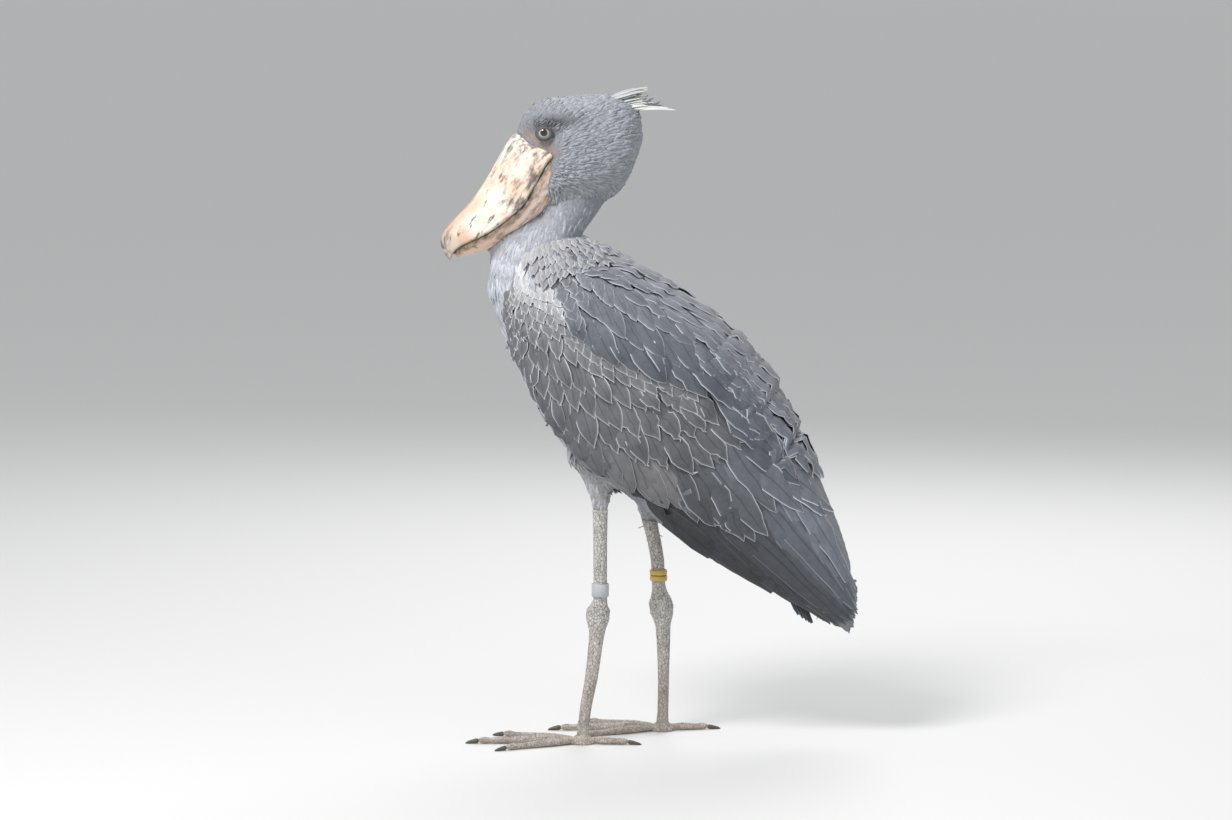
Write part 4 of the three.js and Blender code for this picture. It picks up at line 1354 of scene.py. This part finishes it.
class SHOEBILL_OT_eyes(bpy.types.Operator):
    """The eyes and their lids"""

    bl_idname = "shoebill.eyes"
    bl_label = "Eyes"

    def execute(self, context):
        lid_skin = plain_material("lid_skin", linear(92, 92, 95), 0.6, 900.0, 0.0003, 0.2)
        eye_skin = eye_material("eye")
        for side, word in ((-1, "left"), (1, "right")):
            low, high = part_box("eye_" + word)
            centre = (low + high) / 2
            gaze = Vector((-0.03, side, 0.06)).normalized()
            ball = bmesh.new()
            bmesh.ops.create_uvsphere(ball, u_segments=48, v_segments=32, radius=EYE_RADIUS)
            turn = gaze.to_track_quat("Z", "Y").to_matrix().to_4x4()
            bmesh.ops.transform(ball, matrix=Matrix.Translation(centre) @ turn, verts=ball.verts)
            mesh = mesh_from(ball, "eyeball_" + word)
            ring = [(v.co - centre).normalized().angle(gaze) / RING_ANGLE for v in mesh.vertices]
            mesh.attributes.new("ring", "FLOAT", "POINT").data.foreach_set("value", ring)
            piece("eyeball_" + word, mesh, eye_skin, ("eye_" + word,))
            for part, reach, size in (("lid", 0.0, 0.0021), ("lid_fold", 0.0028, 0.0016)):
                loop = self.lid(centre, side, part, reach, size)
                piece(f"{part}_{word}", loop, lid_skin)
        return {"FINISHED"}

    @staticmethod
    def lid(centre, side, part, reach, size):
        """A loop of skin on the eyeball, a little flatter above than below."""
        centres, outs = [], []
        for a in ring_of_points(40):
            long, high = 0.0108 + reach, (0.0086 if math.sin(a) > 0 else 0.0092) + reach
            x, z = -long * math.cos(a), high * math.sin(a)
            radius = EYE_RADIUS + 0.0006
            depth = math.sqrt(max(radius**2 - x * x - z * z, 1e-6)) - 0.4 * reach
            direction = Vector((x, side * max(depth, 0.0035), z))
            centres.append(centre + direction)
            outs.append(direction.normalized())
        return tube_loop(part, centres, outs, size)


class SHOEBILL_OT_bill(bpy.types.Operator):
    """The bill's two halves, made smooth, with their horn and the dark line of the mouth"""

    bl_idname = "shoebill.bill"
    bl_label = "Bill"

    def execute(self, context):
        settings = context.scene.shoebill
        for node, lower in (("beak_upper", False), ("beak_lower", True)):
            mesh = joined_copy((node,), "horn_" + node)
            mesh = remeshed(mesh, 0.0016, 10)
            other = tree_of(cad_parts["beak_upper" if lower else "beak_lower"].data)
            gaps = [other.find_nearest(v.co)[3] for v in mesh.vertices]
            edge = [max(0.0, 1 - gap / EDGE_WIDTH) ** 0.7 for gap in gaps]
            mesh.attributes.new("edge", "FLOAT", "POINT").data.foreach_set("value", edge)
            piece("horn_" + node, mesh, bill_material(settings, lower), (node,))
        return {"FINISHED"}


class SHOEBILL_OT_legs(bpy.types.Operator):
    """The scaly skin of each leg and foot, the claws, and the rings round the legs"""

    bl_idname = "shoebill.legs"
    bl_label = "Legs"

    def execute(self, context):
        skin = leg_material()
        for word in ("left", "right"):
            nodes = [f"{name}_{word}" for name in LEG_NODES]
            nodes += [f"toe_{word}_{toe}" for toe in TOE_NAMES]
            name = "leg_skin_" + word
            ends = [self.toe_end(word, toe) for toe in TOE_NAMES]
            mesh = remeshed(joined_copy(nodes, name, ends), 0.0018, 8)
            self.wrinkle(mesh, word)
            piece(name, mesh, skin, nodes)
        horn = plain_material("claw_horn", linear(84, 77, 70), 0.4, 300.0, 0.0002, 0.25)
        for word in ("left", "right"):
            for toe in TOE_NAMES:
                node = f"claw_{word}_{toe}"
                thicker = ("DISPLACE", dict(strength=0.0006, mid_level=0.0))
                mesh = remeshed(joined_copy((node,), "horn_" + node), 0.0011, 4, thicker)
                piece("horn_" + node, mesh, horn, (node,))
        grey = plain_material("ring_plastic_grey", linear(178, 182, 186), 0.42, 260.0)
        yellow = plain_material("ring_plastic_yellow", linear(206, 170, 84), 0.42, 260.0)
        self.band("ring_left", grey, "band_grey", 28)
        self.band("ring_right_upper", yellow, "band_yellow", 0)
        self.band("ring_right_lower", yellow, "band_yellow", 0)
        return {"FINISHED"}

    @staticmethod
    def wrinkle(mesh, word):
        """Folds and knobs of loose skin round the ankle joint."""
        low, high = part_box("hock_" + word)
        middle, half = (low.z + high.z) / 2, (high.z - low.z) / 2
        for v in mesh.vertices:
            near = math.exp(-(((v.co.z - middle) / (half * 0.8)) ** 2))
            if near > 0.03:
                knobs = noise.noise(v.co * 110)
                folds = math.sin(v.co.z * 1150 + 7 * noise.noise(v.co * 70))
                v.co += v.normal * near * (0.0022 * knobs + 0.0006 * folds)

    @staticmethod
    def toe_end(word, toe):
        """The full round end of a toe, which holds the root of its claw."""
        low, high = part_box("foot_" + word)
        foot = (low + high) / 2
        claw = mesh_arrays(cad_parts[f"claw_{word}_{toe}"].data)[0]
        reach = np.linalg.norm(claw[:, :2] - [foot.x, foot.y], axis=1)
        root, tip = (Vector(claw[k]) for k in (reach.argmin(), reach.argmax()))
        ahead = Vector((tip.x - root.x, tip.y - root.y, 0)).normalized()
        end = bmesh.new()
        bmesh.ops.create_uvsphere(end, u_segments=20, v_segments=12, radius=1)
        turn = Matrix.Rotation(math.atan2(ahead.y, ahead.x), 4, "Z")
        long, wide, tall = 0.013, 0.0062, 0.0056
        place = Matrix.Translation(Vector((root.x, root.y, tall)) - ahead * 0.008)
        size = Matrix.Diagonal((long, wide, tall, 1))
        bmesh.ops.transform(end, matrix=place @ turn @ size, verts=end.verts)
        return end

    @staticmethod
    def band(node, material, slot, ribs):
        """A ring with rounded edges where the CAD ring is, with upright ribs where asked."""
        low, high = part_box(node)
        centre, size = (low + high) / 2, high - low
        outer, inner, half = size.x / 2, size.x / 2 - 0.0015, size.z / 2
        soft = min(0.0007, half / 3)
        lower = [(inner, -half + soft), (inner + soft, -half)]
        lower += [(outer - soft, -half), (outer, -half + soft)]
        profile = lower + [(r, -z) for r, z in reversed(lower)]
        mesh = bmesh.new()
        rings = []
        for a in ring_of_points(168):
            dent = 0.0002 * (math.sin(a * ribs) > 0.6)
            outward = Vector((math.cos(a), math.sin(a), 0))
            rings.append([
                mesh.verts.new(centre + outward * (r - dent) + Vector((0, 0, z)))
                for r, z in profile
            ])
        for i, ring in enumerate(rings):
            after = rings[(i + 1) % len(rings)]
            for k in range(len(profile)):
                j = (k + 1) % len(profile)
                mesh.faces.new((ring[k], after[k], after[j], ring[j]))
        bmesh.ops.recalc_face_normals(mesh, faces=mesh.faces)
        piece("band_" + node, mesh_from(mesh, "band_" + node), material, (node,))


class SHOEBILL_OT_stage(bpy.types.Operator):
    """A plain pale floor, soft light, and a camera at the photograph's viewing angle"""

    bl_idname = "shoebill.stage"
    bl_label = "Stage"

    CAMERA_PLACE = (-0.0535, -7.0, 1.25)
    CAMERA_FALL = math.radians(5.796)  # how far the camera looks down
    CAMERA_LENS = 126.2  # millimetres on a sensor 36 mm wide
    FLOOR_REACH = 300
    LAMPS = (  # name, place, width and power
        ("key", (-1.8, -2.2, 3.6), 1.2, 140),
        ("fill", (2.6, -2.6, 1.6), 2.6, 12),
        ("back", (0.8, 2.8, 2.8), 2.4, 60),
    )
    LIT_PLACE = Vector((0, 0, 0.6))

    def execute(self, context):
        scene = context.scene
        floor = bmesh.new()
        bmesh.ops.create_grid(floor, x_segments=1, y_segments=1, size=self.FLOOR_REACH)
        ground = linked("floor", mesh_from(floor, "floor"))
        plain = plain_material("floor_plain", scene.shoebill.floor, 0.8, 3.0, 0.0001, 0.02)
        ground.data.materials.append(plain)
        camera = linked("camera", bpy.data.cameras.new("camera"))
        camera.data.sensor_width = 36
        camera.data.lens = self.CAMERA_LENS
        camera.location = self.CAMERA_PLACE
        camera.rotation_euler = (math.pi / 2 - self.CAMERA_FALL, 0, 0)
        scene.camera = camera
        for name, place, width, power in self.LAMPS:
            lamp = linked(name, bpy.data.lights.new(name, "AREA"))
            lamp.data.energy, lamp.data.size = power, width
            lamp.location = place
            ahead = self.LIT_PLACE - Vector(place)
            lamp.rotation_euler = ahead.to_track_quat("-Z", "Y").to_euler()
        scene.world = bpy.data.worlds.new("sky")
        scene.world.use_nodes = True
        sky = scene.world.node_tree.nodes["Background"]
        sky.inputs[0].default_value = (0.97, 0.98, 1.0, 1.0)
        sky.inputs[1].default_value = 0.62
        scene.view_settings.view_transform = "Standard"
        return {"FINISHED"}


class SHOEBILL_PT_panel(bpy.types.Panel):
    bl_idname = "SHOEBILL_PT_panel"
    bl_label = "Shoebill"
    bl_space_type = "VIEW_3D"
    bl_region_type = "UI"
    bl_category = "Shoebill"

    def draw(self, context):
        settings = context.scene.shoebill
        for name in ("plumage", "bill", "floor", "coat_depth", "tuft_spacing"):
            self.layout.prop(settings, name)
        for operator in OPERATORS:
            self.layout.operator(operator.bl_idname)


OPERATORS = (
    SHOEBILL_OT_skin,
    SHOEBILL_OT_body_feathers,
    SHOEBILL_OT_wing_feathers,
    SHOEBILL_OT_tail_and_crest,
    SHOEBILL_OT_eyes,
    SHOEBILL_OT_bill,
    SHOEBILL_OT_legs,
    SHOEBILL_OT_stage,
)
CLASSES = (ShoebillSettings, *OPERATORS, SHOEBILL_PT_panel)


def register():
    for cls in CLASSES:
        bpy.utils.register_class(cls)
    bpy.types.Scene.shoebill = bpy.props.PointerProperty(type=ShoebillSettings)


def unregister():
    del bpy.types.Scene.shoebill
    for cls in reversed(CLASSES):
        bpy.utils.unregister_class(cls)


def main():
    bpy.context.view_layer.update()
    register()
    bpy.ops.shoebill.skin()
    bpy.ops.shoebill.body_feathers()
    bpy.ops.shoebill.wing_feathers()
    bpy.ops.shoebill.tail_and_crest()
    bpy.ops.shoebill.eyes()
    bpy.ops.shoebill.bill()
    bpy.ops.shoebill.legs()
    bpy.ops.shoebill.stage()


if __name__ == "__main__":
    main()
